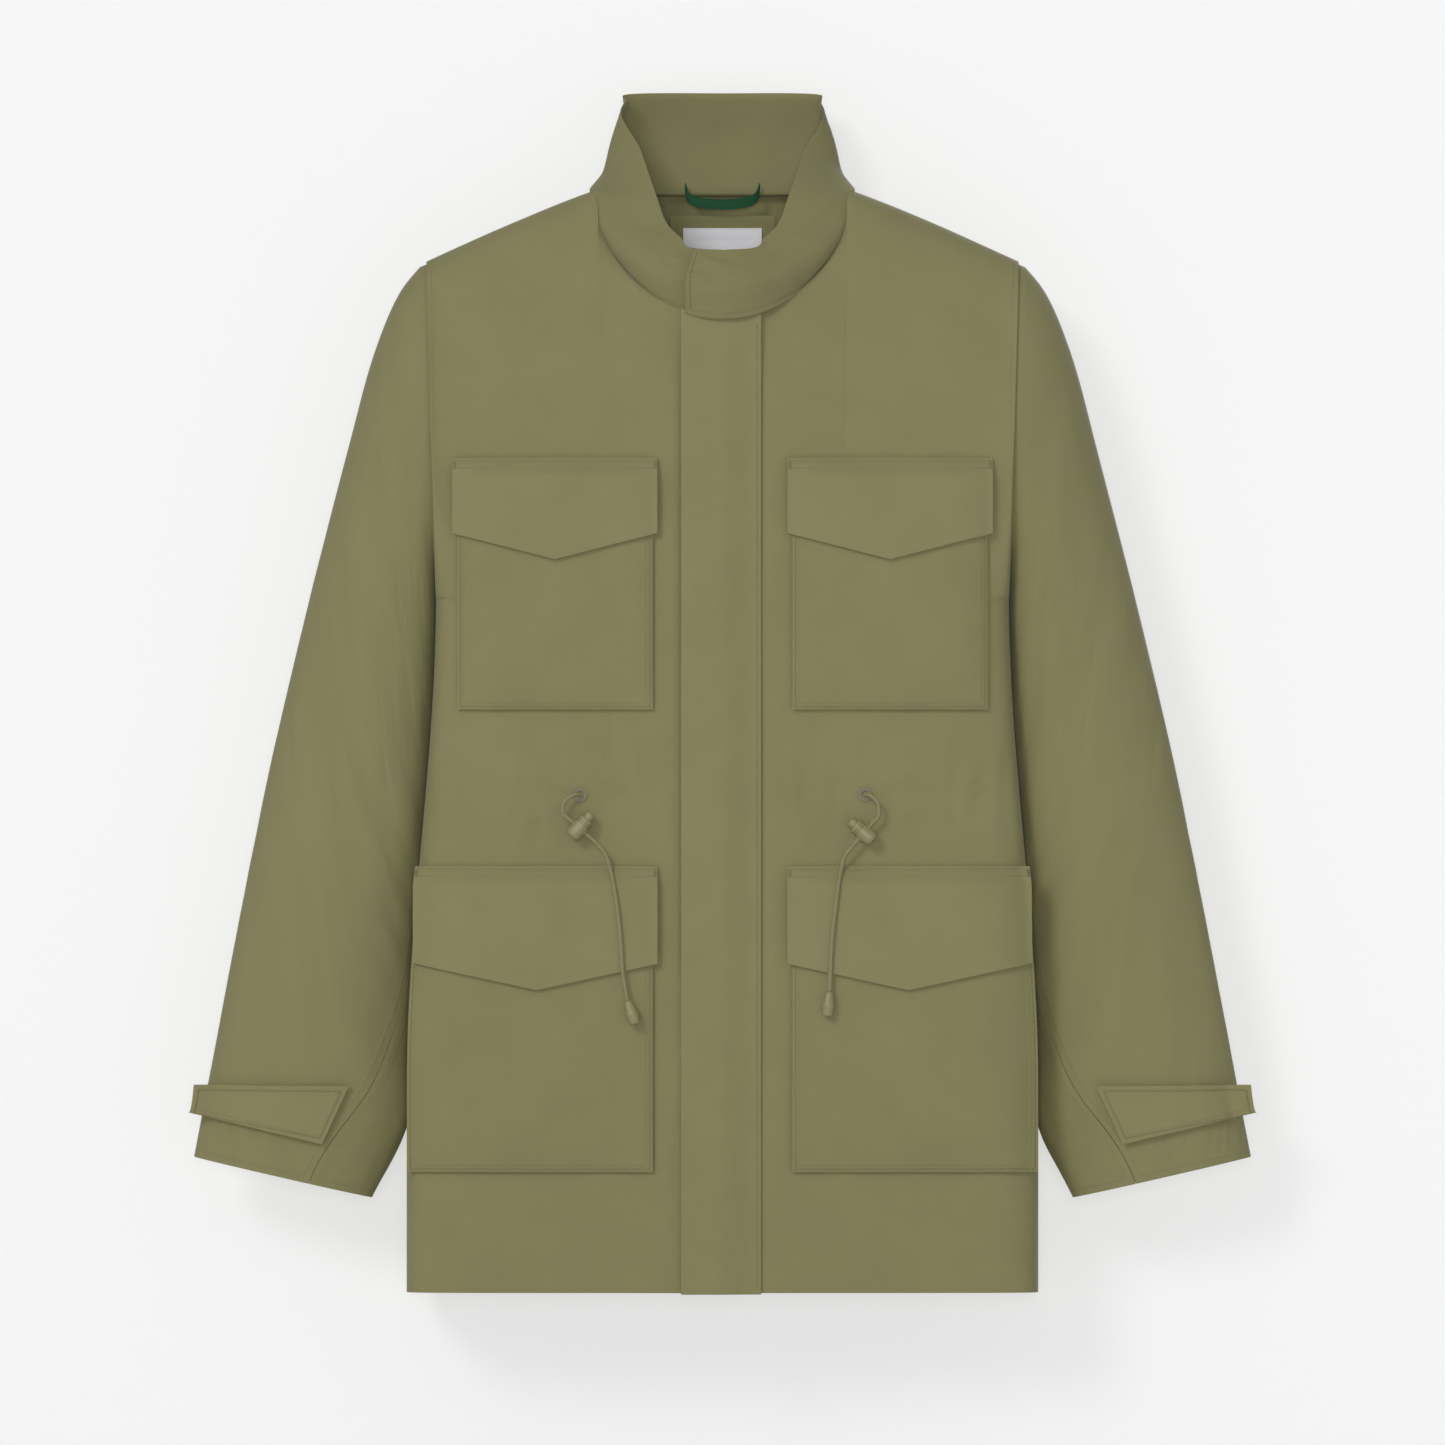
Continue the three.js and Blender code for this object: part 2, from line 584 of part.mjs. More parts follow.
function flapPoint(side, pocket, u, v) {
  const inner = POCKET_INNER - FLAP_OVERHANG;
  const outer = pocket.outerEdge(pocket.seam) + FLAP_OVERHANG;
  const across = Math.sin(u * Math.PI / 2);
  const x = lerp(inner, outer, across);
  const point = FLAP_POINT * (1 - Math.abs(2 * across - 1));
  const length = pocket.flapLength + point;
  const rampRow = 0.8;
  const below = v > rampRow
    ? FLAP_RAMP * (1 - v) / (1 - rampRow)
    : lerp(length, FLAP_RAMP, v / rampRow);
  const z = pocket.seam - below;
  const raise = lerp(FLAP_ROOT_LIFT, BELLOWS_DEPTH + 1.4, Math.min(1, below / FLAP_RAMP));
  return raisedFront(side * x, z, raise);
}

function addPockets() {
  for (const pocket of POCKETS) {
    for (const [name, side] of SIDES) {
      addPiece(`${pocket.name}_pocket_${name}`, pocketBody(side, pocket), OLIVE);
      const flap = clothPanel((u, v) => flapPoint(side, pocket, u, v), 8, 5, 0, FLAP_THICKNESS, bodyHeart);
      addPiece(`${pocket.name}_flap_${name}`, flap, OLIVE_LIGHT);
    }
  }
}

// ---- Fly and zip ------------------------------------------------------------------------------

function addFly() {
  const face = -FRONT_FACE;
  const root = FLY_SEAM + 3;
  const stand = face - FLY_STANDOFF;
  const profile = new THREE.Shape()
    .moveTo(root, face - 0.5)
    .lineTo(FLY_SEAM - 3, face - 0.5)
    .lineTo(FLY_SEAM - 12, stand)
    .lineTo(FLY_FREE_EDGE, stand)
    .lineTo(FLY_FREE_EDGE, stand - FLY_THICKNESS)
    .lineTo(FLY_SEAM - 12.5, stand - FLY_THICKNESS)
    .lineTo(FLY_SEAM - 3.5, face - 0.5 - FLY_THICKNESS)
    .lineTo(root, face - 0.5 - FLY_THICKNESS);
  const fly = new THREE.ExtrudeGeometry(profile, { depth: FLY_LENGTH, bevelEnabled: false, steps: 1 });
  addPiece('storm_fly', closed(fly.translate(0, 0, -1)), OLIVE_LIGHT);

  const snapX = FLY_FREE_EDGE + 12;
  const snaps = Array.from({ length: FLY_SNAPS }, (_, i) => 60 + i * (FLY_LENGTH - 120) / (FLY_SNAPS - 1));
  const socketTape = box(snapX - 6, snapX + 6, face - 1.2, face - 0.4, 30, FLY_LENGTH - 30);
  const sockets = snaps.map((z) => peg(SNAP_RADIUS, 1.2, 10).translate(snapX, face - 1.7, z));
  addPiece('fly_socket_tape', join(socketTape, ...sockets), DARK_TAPE);
  const studTape = box(snapX - 6, snapX + 6, stand + 0.4, stand + 1.2, 30, FLY_LENGTH - 30);
  const studs = snaps.map((z) => peg(SNAP_RADIUS - 1.5, 1.6, 10).translate(snapX, stand + 1.9, z));
  addPiece('fly_stud_tape', join(studTape, ...studs), DARK_TAPE);
}

const TAPE_FACE = -(FRONT_FACE - CLOTH - 1.5);

function addZip() {
  const toothInner = SEAM_GAP - 0.1;
  const toothOuter = toothInner + TOOTH_WIDTH;
  const toothFace = TAPE_FACE - 0.8;
  for (const [name, side] of SIDES) {
    const tape = box(toothOuter + 0.3, toothOuter + 0.3 + ZIP_TAPE, TAPE_FACE, TAPE_FACE + 0.8, ZIP_BOTTOM, ZIP_TOP);
    addPiece(`zip_tape_${name}`, closed(side > 0 ? tape : tape.rotateZ(Math.PI).translate(0, 2 * TAPE_FACE + 0.8, 0)), DARK_TAPE);
    const row = box(toothInner, toothOuter, toothFace, toothFace + TOOTH_DEPTH, ZIP_BOTTOM, ZIP_TOP);
    addPiece(`zip_teeth_${name}`, closed(side > 0 ? row : row.translate(-toothInner - toothOuter, 0, 0)), STEEL, 0.4, 0.8);
  }
  const stop = box(-4, 4, toothFace - 1.2, toothFace + TOOTH_DEPTH + 1.2, ZIP_BOTTOM - 8.4, ZIP_BOTTOM - 0.4);
  addPiece('zip_bottom_box', closed(stop), STEEL, 0.4, 0.8);

  const sliderTop = ZIP_TOP - 2;
  const sliderFoot = sliderTop - SLIDER_LENGTH;
  const plateFront = toothFace - 0.5;
  const half = SLIDER_WIDTH / 2;
  const web = (toothInner - 0.35);
  const postZ = sliderTop - 4;
  const slider = join(
    box(-half, half, plateFront - 1.2, plateFront, sliderFoot, sliderTop),
    box(-half, half, toothFace + TOOTH_DEPTH + 0.5, toothFace + TOOTH_DEPTH + 1.7, sliderFoot, sliderTop),
    box(-web, web, plateFront - 0.3, toothFace + TOOTH_DEPTH + 0.8, sliderFoot + 1, sliderTop - 1),
    peg(1.1, 3.1).translate(0, plateFront - 2.6, postZ),
    peg(2, 0.7).translate(0, plateFront - 4.1, postZ),
  );
  addPiece('zip_slider', slider, STEEL, 0.35, 0.9);
  const pull = cut(
    box(-3, 3, plateFront - 3.3, plateFront - 2.1, postZ - PULL_LENGTH, postZ + 3),
    peg(1.5, 4).translate(0, plateFront - 2.7, postZ),
    box(-1.2, 1.2, plateFront - 4, plateFront - 1, postZ - PULL_LENGTH + 3, postZ - PULL_LENGTH + 12),
  );
  addPiece('zip_pull', pull, STEEL, 0.35, 0.9);
}

// ---- Waist drawcord ---------------------------------------------------------------------------

function roundTube(radius, path, steps, sides = 8) {
  const points = Array.from({ length: sides }, (_, i) => {
    const turn = 2 * Math.PI * i / sides;
    return new THREE.Vector2(radius * Math.cos(turn), radius * Math.sin(turn));
  });
  return closed(tubeAlong(new THREE.Shape(points), path, steps));
}

// A point of the waist line: lap 0 is the front centre and 1 comes back to it, inset is inwards off the cloth.
function waistPoint(lap, inset) {
  const turn = lap * 2 * Math.PI;
  const power = BODY_CORNER;
  const wide = halfWidth(WAIST_HEIGHT);
  const squeeze = (Math.abs(Math.sin(turn)) ** power + Math.abs(Math.cos(turn)) ** power) ** (-1 / power);
  const across = Math.sin(turn) * squeeze;
  const fore = -Math.cos(turn) * squeeze;
  const outward = vector(
    Math.sign(across) * Math.abs(across) ** (power - 1) / wide,
    Math.sign(fore) * Math.abs(fore) ** (power - 1) / FRONT_FACE,
    0,
  ).normalize();
  return vector(across * wide, fore * FRONT_FACE, WAIST_HEIGHT).addScaledVector(outward, -inset);
}

function addWaistCord() {
  const channelLap = 0.07;
  const ring = (u, v) => waistPoint(lerp(channelLap, 1 - channelLap, u), CHANNEL_INSET)
    .add(vector(0, 0, lerp(-CHANNEL_WIDTH / 2, CHANNEL_WIDTH / 2, v)));
  addPiece('waist_channel', clothPanel(ring, 44, 1, -CHANNEL_CLOTH, 0, vector(0, 0, WAIST_HEIGHT)), LINING_BROWN);

  const cordInset = CLOTH + CORD_STANDOFF + CORD_RADIUS;
  const firstLap = Math.atan(EYELET_X / (halfWidth(WAIST_HEIGHT) - cordInset)) / (2 * Math.PI);
  const stations = 40;
  const points = Array.from({ length: stations + 1 }, (_, i) => waistPoint(lerp(firstLap, 1 - firstLap, i / stations), cordInset));
  addPiece('waist_cord', roundTube(CORD_RADIUS, new THREE.CatmullRomCurve3(points, false, 'centripetal'), 78), CORD_OLIVE, 0.8);
}

// A free cord tail's points: out of the eyelet, through the lock, then down over the lower flap.
const TAILS = {
  left: {
    lock: vector(101.9, 0, -27.6),
    along: vector(-0.653, 0, -0.757),
    before: [vector(EYELET_X, 2.4, 0), vector(EYELET_X, -3.1, 0), vector(106.2, -7, -0.5), vector(111.6, -8.4, -6)],
    after: [vector(87.6, -8.8, -45)],
    hang: [
      vector(85, -10.2, -56), vector(83, -14.8, -68), vector(81, -14.8, -84), vector(79, -14.8, -102),
      vector(77.6, -14.8, -126), vector(77.1, -14.8, -141.5),
    ],
    end: vector(-0.1, 0, -1),
  },
  right: {
    lock: vector(-103.2, 0, -23.9),
    along: vector(0.75, 0, -0.66),
    before: [vector(-EYELET_X, 2.4, 0), vector(-EYELET_X, -3.1, 0), vector(-106.6, -7, -0.2), vector(-113.4, -8.4, -4.4)],
    after: [vector(-84.2, -8.8, -43)],
    hang: [
      vector(-80.2, -10.2, -56), vector(-78, -14.8, -67), vector(-75.4, -14.8, -84), vector(-73, -14.8, -109),
      vector(-71.5, -14.8, -130), vector(-68.4, -14.8, -148),
    ],
    end: vector(0.32, 0, -0.95),
  },
};

function tailOrigin() {
  return vector(0, -FRONT_FACE, WAIST_HEIGHT);
}

function tailPaths(tail) {
  const reach = LOCK_RADIUS + LOCK_TRAVEL;
  const straight = [-reach - 6, -reach, 0, reach, reach + 6].map((distance) => {
    const middle = tail.lock.clone().add(vector(0, -LOCK_STANDOFF, 0));
    return middle.addScaledVector(tail.along.clone().normalize(), distance);
  });
  const place = (points) => points.map((point) => point.clone().add(tailOrigin()));
  const parting = straight[3].clone().addScaledVector(tail.along.clone().normalize(), TAIL_PARTING);
  const upper = place([...tail.before, ...straight.slice(0, 4), parting]);
  const lower = place([parting, straight[4], ...tail.after, ...tail.hang]);
  return { upper, lower };
}

function addTails() {
  for (const [name] of SIDES) {
    const tail = TAILS[name];
    const { upper, lower } = tailPaths(tail);
    const top = new THREE.CatmullRomCurve3(upper, false, 'centripetal');
    addPiece(`cord_tail_upper_${name}`, roundTube(CORD_RADIUS, top, 24), CORD_OLIVE, 0.8);
    const step = lower[1].clone().sub(lower[0]).normalize().multiplyScalar(0.4);
    lower[0].add(step);
    const below = new THREE.CatmullRomCurve3(lower, false, 'centripetal');
    addPiece(`cord_tail_lower_${name}`, roundTube(CORD_RADIUS, below, 24), CORD_OLIVE, 0.8);

    const direction = tail.end.clone().normalize();
    const end = turned([
      [0, 0], [2.2, 0], [3, 1.4], [CORD_END_RADIUS, CORD_END_LENGTH * 0.55],
      [CORD_END_RADIUS - 0.6, CORD_END_LENGTH - 2], [CORD_END_RADIUS - 2, CORD_END_LENGTH], [0, CORD_END_LENGTH],
    ], 14);
    const piece = addPiece(`cord_end_${name}`, end, LOCK_OLIVE, 0.5);
    piece.position.copy(lower.at(-1)).addScaledVector(direction, 0.4);
    piece.quaternion.setFromUnitVectors(vector(0, 1, 0), direction);
  }
}

function addEyelets() {
  for (const [name, side] of SIDES) {
    const flange = EYELET_HOLE + 2.8;
    const section = [
      [EYELET_HOLE, -CLOTH - 1], [flange, -CLOTH - 1], [flange, -CLOTH - 0.35], [EYELET_HOLE + 0.8, -CLOTH - 0.35],
      [EYELET_HOLE + 0.8, 0.35], [flange, 0.35], [flange, 1], [EYELET_HOLE, 1], [EYELET_HOLE, -CLOTH - 1],
    ];
    const piece = addPiece(`eyelet_${name}`, turned(section, 12), STEEL, 0.4, 0.8);
    piece.position.copy(eyeletPlace(side));
    piece.rotation.x = Math.PI;
  }
}

function addLocks() {
  for (const [name] of SIDES) {
    const tail = TAILS[name];
    const along = tail.along.clone().normalize();
    const axis = vector(Math.sign(along.x) * Math.abs(along.z), 0, Math.abs(along.x)).normalize();
    const middle = tail.lock.clone().add(tailOrigin()).add(vector(0, -LOCK_STANDOFF, 0));
    const frame = new THREE.Matrix4().makeBasis(along, axis, along.clone().cross(axis));
    const seat = new THREE.Group();
    seat.position.copy(middle);
    seat.quaternion.setFromRotationMatrix(frame);
    jacket.add(seat);

    const half = LOCK_LENGTH / 2;
    const cordHole = CORD_RADIUS + CORD_CLEARANCE;
    const across = () => peg(cordHole, 4 * LOCK_RADIUS).rotateZ(Math.PI / 2);
    const barrel = turned([
      [0, -half], [LOCK_RADIUS - 2, -half], [LOCK_RADIUS, -half + 2.4], [LOCK_RADIUS, half - 1.2],
      [LOCK_RADIUS - 0.8, half], [0, half],
    ], 20);
    const bore = peg(PLUNGER_RADIUS + 0.35, LOCK_LENGTH, 20).translate(0, LOCK_FLOOR, 0);
    const body = addPiece(`cord_lock_${name}`, cut(barrel, bore, across()), LOCK_OLIVE, 0.5);
    seat.add(body);

    const plungerFoot = -cordHole - 1.1;
    const stem = peg(PLUNGER_RADIUS, half - plungerFoot + PLUNGER_SHOW, 20)
      .translate(0, (half + plungerFoot + PLUNGER_SHOW) / 2, 0);
    const slot = box(-9, 9, -cordHole, cordHole, -cordHole, cordHole + PLUNGER_TRAVEL);
    const opening = slot.rotateX(-Math.PI / 2);
    const plunger = addPiece(`cord_lock_plunger_${name}`, cut(stem, opening), LOCK_OLIVE, 0.5);
    seat.add(plunger);

    const floor = LOCK_FLOOR - half;
    const coil = new THREE.CatmullRomCurve3(Array.from({ length: 17 }, (_, i) => {
      const turn = i * Math.PI / 3;
      return vector(2.2 * Math.cos(turn), lerp(floor + 0.7, plungerFoot - 0.7, i / 16), 2.2 * Math.sin(turn));
    }));
    const spring = addPiece(`cord_lock_spring_${name}`, roundTube(0.3, coil, 28, 4), STEEL, 0.4, 0.8);
    seat.add(spring);
  }
}

// ---- Cuff tabs --------------------------------------------------------------------------------

// A place on the cuff's front: across is 0 at the tab's sewn end and 1 at its free end.
function tabPoint(side, across, rise, raise) {
  const hem = (x) => cuffCorner.z - (cuffCorner.x - x) * Math.tan(CUFF_TILT);
  const footX = cuffCorner.x - 0.72 * CUFF_WIDTH * Math.cos(CUFF_TILT);
  const root = { x: footX - 0.46 * CUFF_TAB_WIDTH * rise, z: hem(footX) + CUFF_TAB_RISE + CUFF_TAB_WIDTH * rise };
  const tipX = cuffCorner.x - 7 - 8 * rise;
  const tip = { x: tipX, z: lerp(root.z + 22 * (1 - rise), root.z, rise) };
  const x = lerp(root.x, tip.x, across);
  const z = lerp(root.z, tip.z, across);
  const { turn, along } = placeOnSleeve(x, z);
  const at = (t, a) => sleevePoint(side, t, a);
  const aroundStep = at(turn + 0.02, along).sub(at(turn - 0.02, along));
  const alongStep = at(turn, along + 0.004).sub(at(turn, along - 0.004));
  return at(turn, along).addScaledVector(alongStep.cross(aroundStep).normalize(), -side * raise);
}

function addCuffTabs() {
  for (const [name, side] of SIDES) {
    const heart = sleevePoint(side, 0.7, 0.93).setY(0);
    const layer = (a0, a1, r0, r1, inner, outer, columns) => clothPanel(
      (u, v) => tabPoint(side, lerp(a0, a1, u), lerp(r0, r1, v), 0), columns, 2, inner, outer, heart);
    addPiece(`cuff_loop_patch_${name}`, layer(0.3, 0.92, 0.25, 0.8, 0.5, 1.2, 8), DARK_TAPE);
    addPiece(`cuff_hook_patch_${name}`, layer(0.55, 0.92, 0.25, 0.8, 1.7, 2.4, 6), DARK_TAPE);
    addPiece(`cuff_tab_${name}`, layer(0, 1, 0, 1, 2.9, 4.9, 10), OLIVE_LIGHT);
  }
}

addShell();
addLining();
addCollar();
addNeckTrim();
addPockets();
addFly();
addZip();
addWaistCord();
addEyelets();
addTails();
addLocks();
addCuffTabs();

export default jacket;
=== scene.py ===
"""The looks of a field jacket: cotton shell, lining, stand collar, pockets, fly, drawcord and cuff tabs.

Lengths are in millimetres above the hem while a piece is shaped, and in metres from the shoulder rest
once it is finished. Left and right are the wearer's, so the left side is at +X and the front faces -Y.
"""

import logging
import math
from dataclasses import dataclass
from enum import Enum
from typing import Callable, Sequence

import bmesh
import bpy
from mathutils import Matrix, Vector, noise


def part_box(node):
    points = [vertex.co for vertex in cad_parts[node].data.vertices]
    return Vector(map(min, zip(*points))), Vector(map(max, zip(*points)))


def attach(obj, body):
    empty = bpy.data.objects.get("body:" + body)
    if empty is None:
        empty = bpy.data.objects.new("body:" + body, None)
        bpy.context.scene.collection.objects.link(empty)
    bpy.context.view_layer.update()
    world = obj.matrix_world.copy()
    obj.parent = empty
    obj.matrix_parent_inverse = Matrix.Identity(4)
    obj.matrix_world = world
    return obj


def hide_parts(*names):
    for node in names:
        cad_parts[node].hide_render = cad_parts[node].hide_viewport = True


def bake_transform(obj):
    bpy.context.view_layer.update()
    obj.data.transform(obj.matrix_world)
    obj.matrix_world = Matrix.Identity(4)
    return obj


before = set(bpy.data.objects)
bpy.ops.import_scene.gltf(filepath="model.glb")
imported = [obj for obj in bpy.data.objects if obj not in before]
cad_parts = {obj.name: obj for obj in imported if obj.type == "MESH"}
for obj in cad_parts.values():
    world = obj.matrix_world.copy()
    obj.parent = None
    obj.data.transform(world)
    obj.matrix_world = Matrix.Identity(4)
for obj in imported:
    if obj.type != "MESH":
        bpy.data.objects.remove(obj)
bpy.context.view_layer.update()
LOG = logging.getLogger("field_jacket")

LENGTH = 796.0
UNDERARM = 500.0
SHOULDER_POINT = 744.0
HEM_HALF = 228.0
CHEST_HALF = 207.0
SHOULDER_HALF = 214.0
HALF_DEPTH = 55.3
FRONT_FACE = 55.4
NECK_HALF = 90.0
NECK_DROP = 93.0
NECK_BACK = 45.0
WAIST = 359.0
EYELET_X = 102.5
CORD_RADIUS = 1.5
FLY_EDGE = -30.0
FLY_SEAM = 25.0

Surface = Callable[[float, float], Vector]
Field = Callable[[Vector], float]


class Side(Enum):
    """The wearer's side, with the sign of its X."""

    LEFT = 1
    RIGHT = -1

    @property
    def word(self) -> str:
        """The side's name as the frame spells it."""
        return self.name.lower()


class Sewn(Enum):
    """The edges of a cut panel: across is u, from L to R, and up is v, from B to T."""

    L = "left"
    R = "right"
    B = "bottom"
    T = "top"


# ---- Sums -------------------------------------------------------------------------------------


def lerp(a: float, b: float, share: float) -> float:
    """The value that lies share of the way from a to b."""
    return a + (b - a) * share


def ease(x: float, low: float, high: float) -> float:
    """A smooth step from 0 at low to 1 at high."""
    t = min(1.0, max(0.0, (x - low) / (high - low)))
    return t * t * (3 - 2 * t)


def hump(x: float, middle: float, reach: float) -> float:
    """A bell of height 1 about middle."""
    return math.exp(-(((x - middle) / reach) ** 2))


def ripple(x: float, z: float, seed: float) -> float:
    """Smooth unevenness between about -1 and 1."""
    return noise.noise(Vector((x, z, seed)))


def metres(point: Vector) -> Vector:
    """A place in millimetres above the hem, as metres from the shoulder rest."""
    return Vector((point.x, point.y, point.z - LENGTH)) / 1000


class Curve:
    """A smooth open line through its points, with centripetal spacing."""

    STEPS = 1200

    def __init__(self, points: Sequence[Sequence[float]]) -> None:
        """Stores the points and measures the line.

        Args:
            points: The places that the line passes through, in order.
        """
        self.points = [Vector(p) for p in points]
        steps = self.STEPS
        dense = [self.point(i / steps) for i in range(steps + 1)]
        run = [0.0]
        for a, b in zip(dense, dense[1:]):
            run.append(run[-1] + (b - a).length)
        self.length = run[-1]
        self.even: list[Vector] = []
        at = 0
        for i in range(steps + 1):
            want = self.length * i / steps
            while at < steps - 1 and run[at + 1] < want:
                at += 1
            share = (want - run[at]) / max(1e-9, run[at + 1] - run[at])
            self.even.append(dense[at].lerp(dense[at + 1], share))

    def point(self, t: float) -> Vector:
        """The point at share t of the spans.

        Args:
            t: 0 at the first point, 1 at the last, each span taking an equal share.

        Returns:
            The place on the line.
        """
        last = len(self.points) - 1
        place = min(1.0, max(0.0, t)) * last
        i = min(int(place), last - 1)
        p1, p2 = self.points[i], self.points[i + 1]
        p0 = self.points[i - 1] if i else 2 * p1 - p2
        p3 = self.points[i + 2] if i < last - 1 else 2 * p2 - p1
        d0, d1, d2 = ((b - a).length ** 0.5 for a, b in ((p0, p1), (p1, p2), (p2, p3)))
        d1 = d1 or 1.0
        d0, d2 = d0 or d1, d2 or d1
        t1 = ((p1 - p0) / d0 - (p2 - p0) / (d0 + d1) + (p2 - p1) / d1) * d1
        t2 = ((p2 - p1) / d1 - (p3 - p1) / (d1 + d2) + (p3 - p2) / d2) * d1
        w = place - i
        return p1 + t1 * w + (3 * (p2 - p1) - 2 * t1 - t2) * w**2 + (2 * (p1 - p2) + t1 + t2) * w**3

    def along(self, share: float) -> Vector:
        """The point at a share of the line's length.

        Args:
            share: 0 at the start, 1 at the end.

        Returns:
            The place on the line.
        """
        place = min(1.0, max(0.0, share)) * (len(self.even) - 1)
        i = min(int(place), len(self.even) - 2)
        return self.even[i].lerp(self.even[i + 1], place - i)


# ---- Finishes ---------------------------------------------------------------------------------


def linear(code: str) -> tuple[float, float, float, float]:
    """An sRGB hex colour as linear light.

    Args:
        code: Six hex digits.

    Returns:
        Red, green, blue and an alpha of 1.
    """
    parts = [int(code[i : i + 2], 16) / 255 for i in (0, 2, 4)]
    light = [c / 12.92 if c <= 0.04045 else ((c + 0.055) / 1.055) ** 2.4 for c in parts]
    return (light[0], light[1], light[2], 1.0)


def add_node(tree: bpy.types.NodeTree, kind: str, sockets: dict | None = None, **settings: object) -> bpy.types.Node:
    """Adds a node to a tree.

    Args:
        tree: The node tree.
        kind: The node's type name.
        sockets: Input name or index to a value, or to the output socket that feeds it.
        **settings: The node's own properties.

    Returns:
        The new node.
    """
    node = tree.nodes.new(kind)
    for name, value in settings.items():
        setattr(node, name, value)
    for name, value in (sockets or {}).items():
        if isinstance(value, bpy.types.NodeSocket):
            tree.links.new(value, node.inputs[name])
        else:
            node.inputs[name].default_value = value
    return node


def new_material(name: str) -> tuple[bpy.types.Material, bpy.types.NodeTree]:
    """An empty node material and its tree.

    Args:
        name: The material's name: the real one and how it was made.

    Returns:
        The material and its empty node tree.
    """
    material = bpy.data.materials.new(name)
    material.use_nodes = True
    material.node_tree.nodes.clear()
    return material, material.node_tree


def wave_scale(spacing_mm: float) -> float:
    """The Wave texture's scale that puts its bands spacing_mm apart on coordinates in metres."""
    return math.pi / 10 / (spacing_mm / 1000)


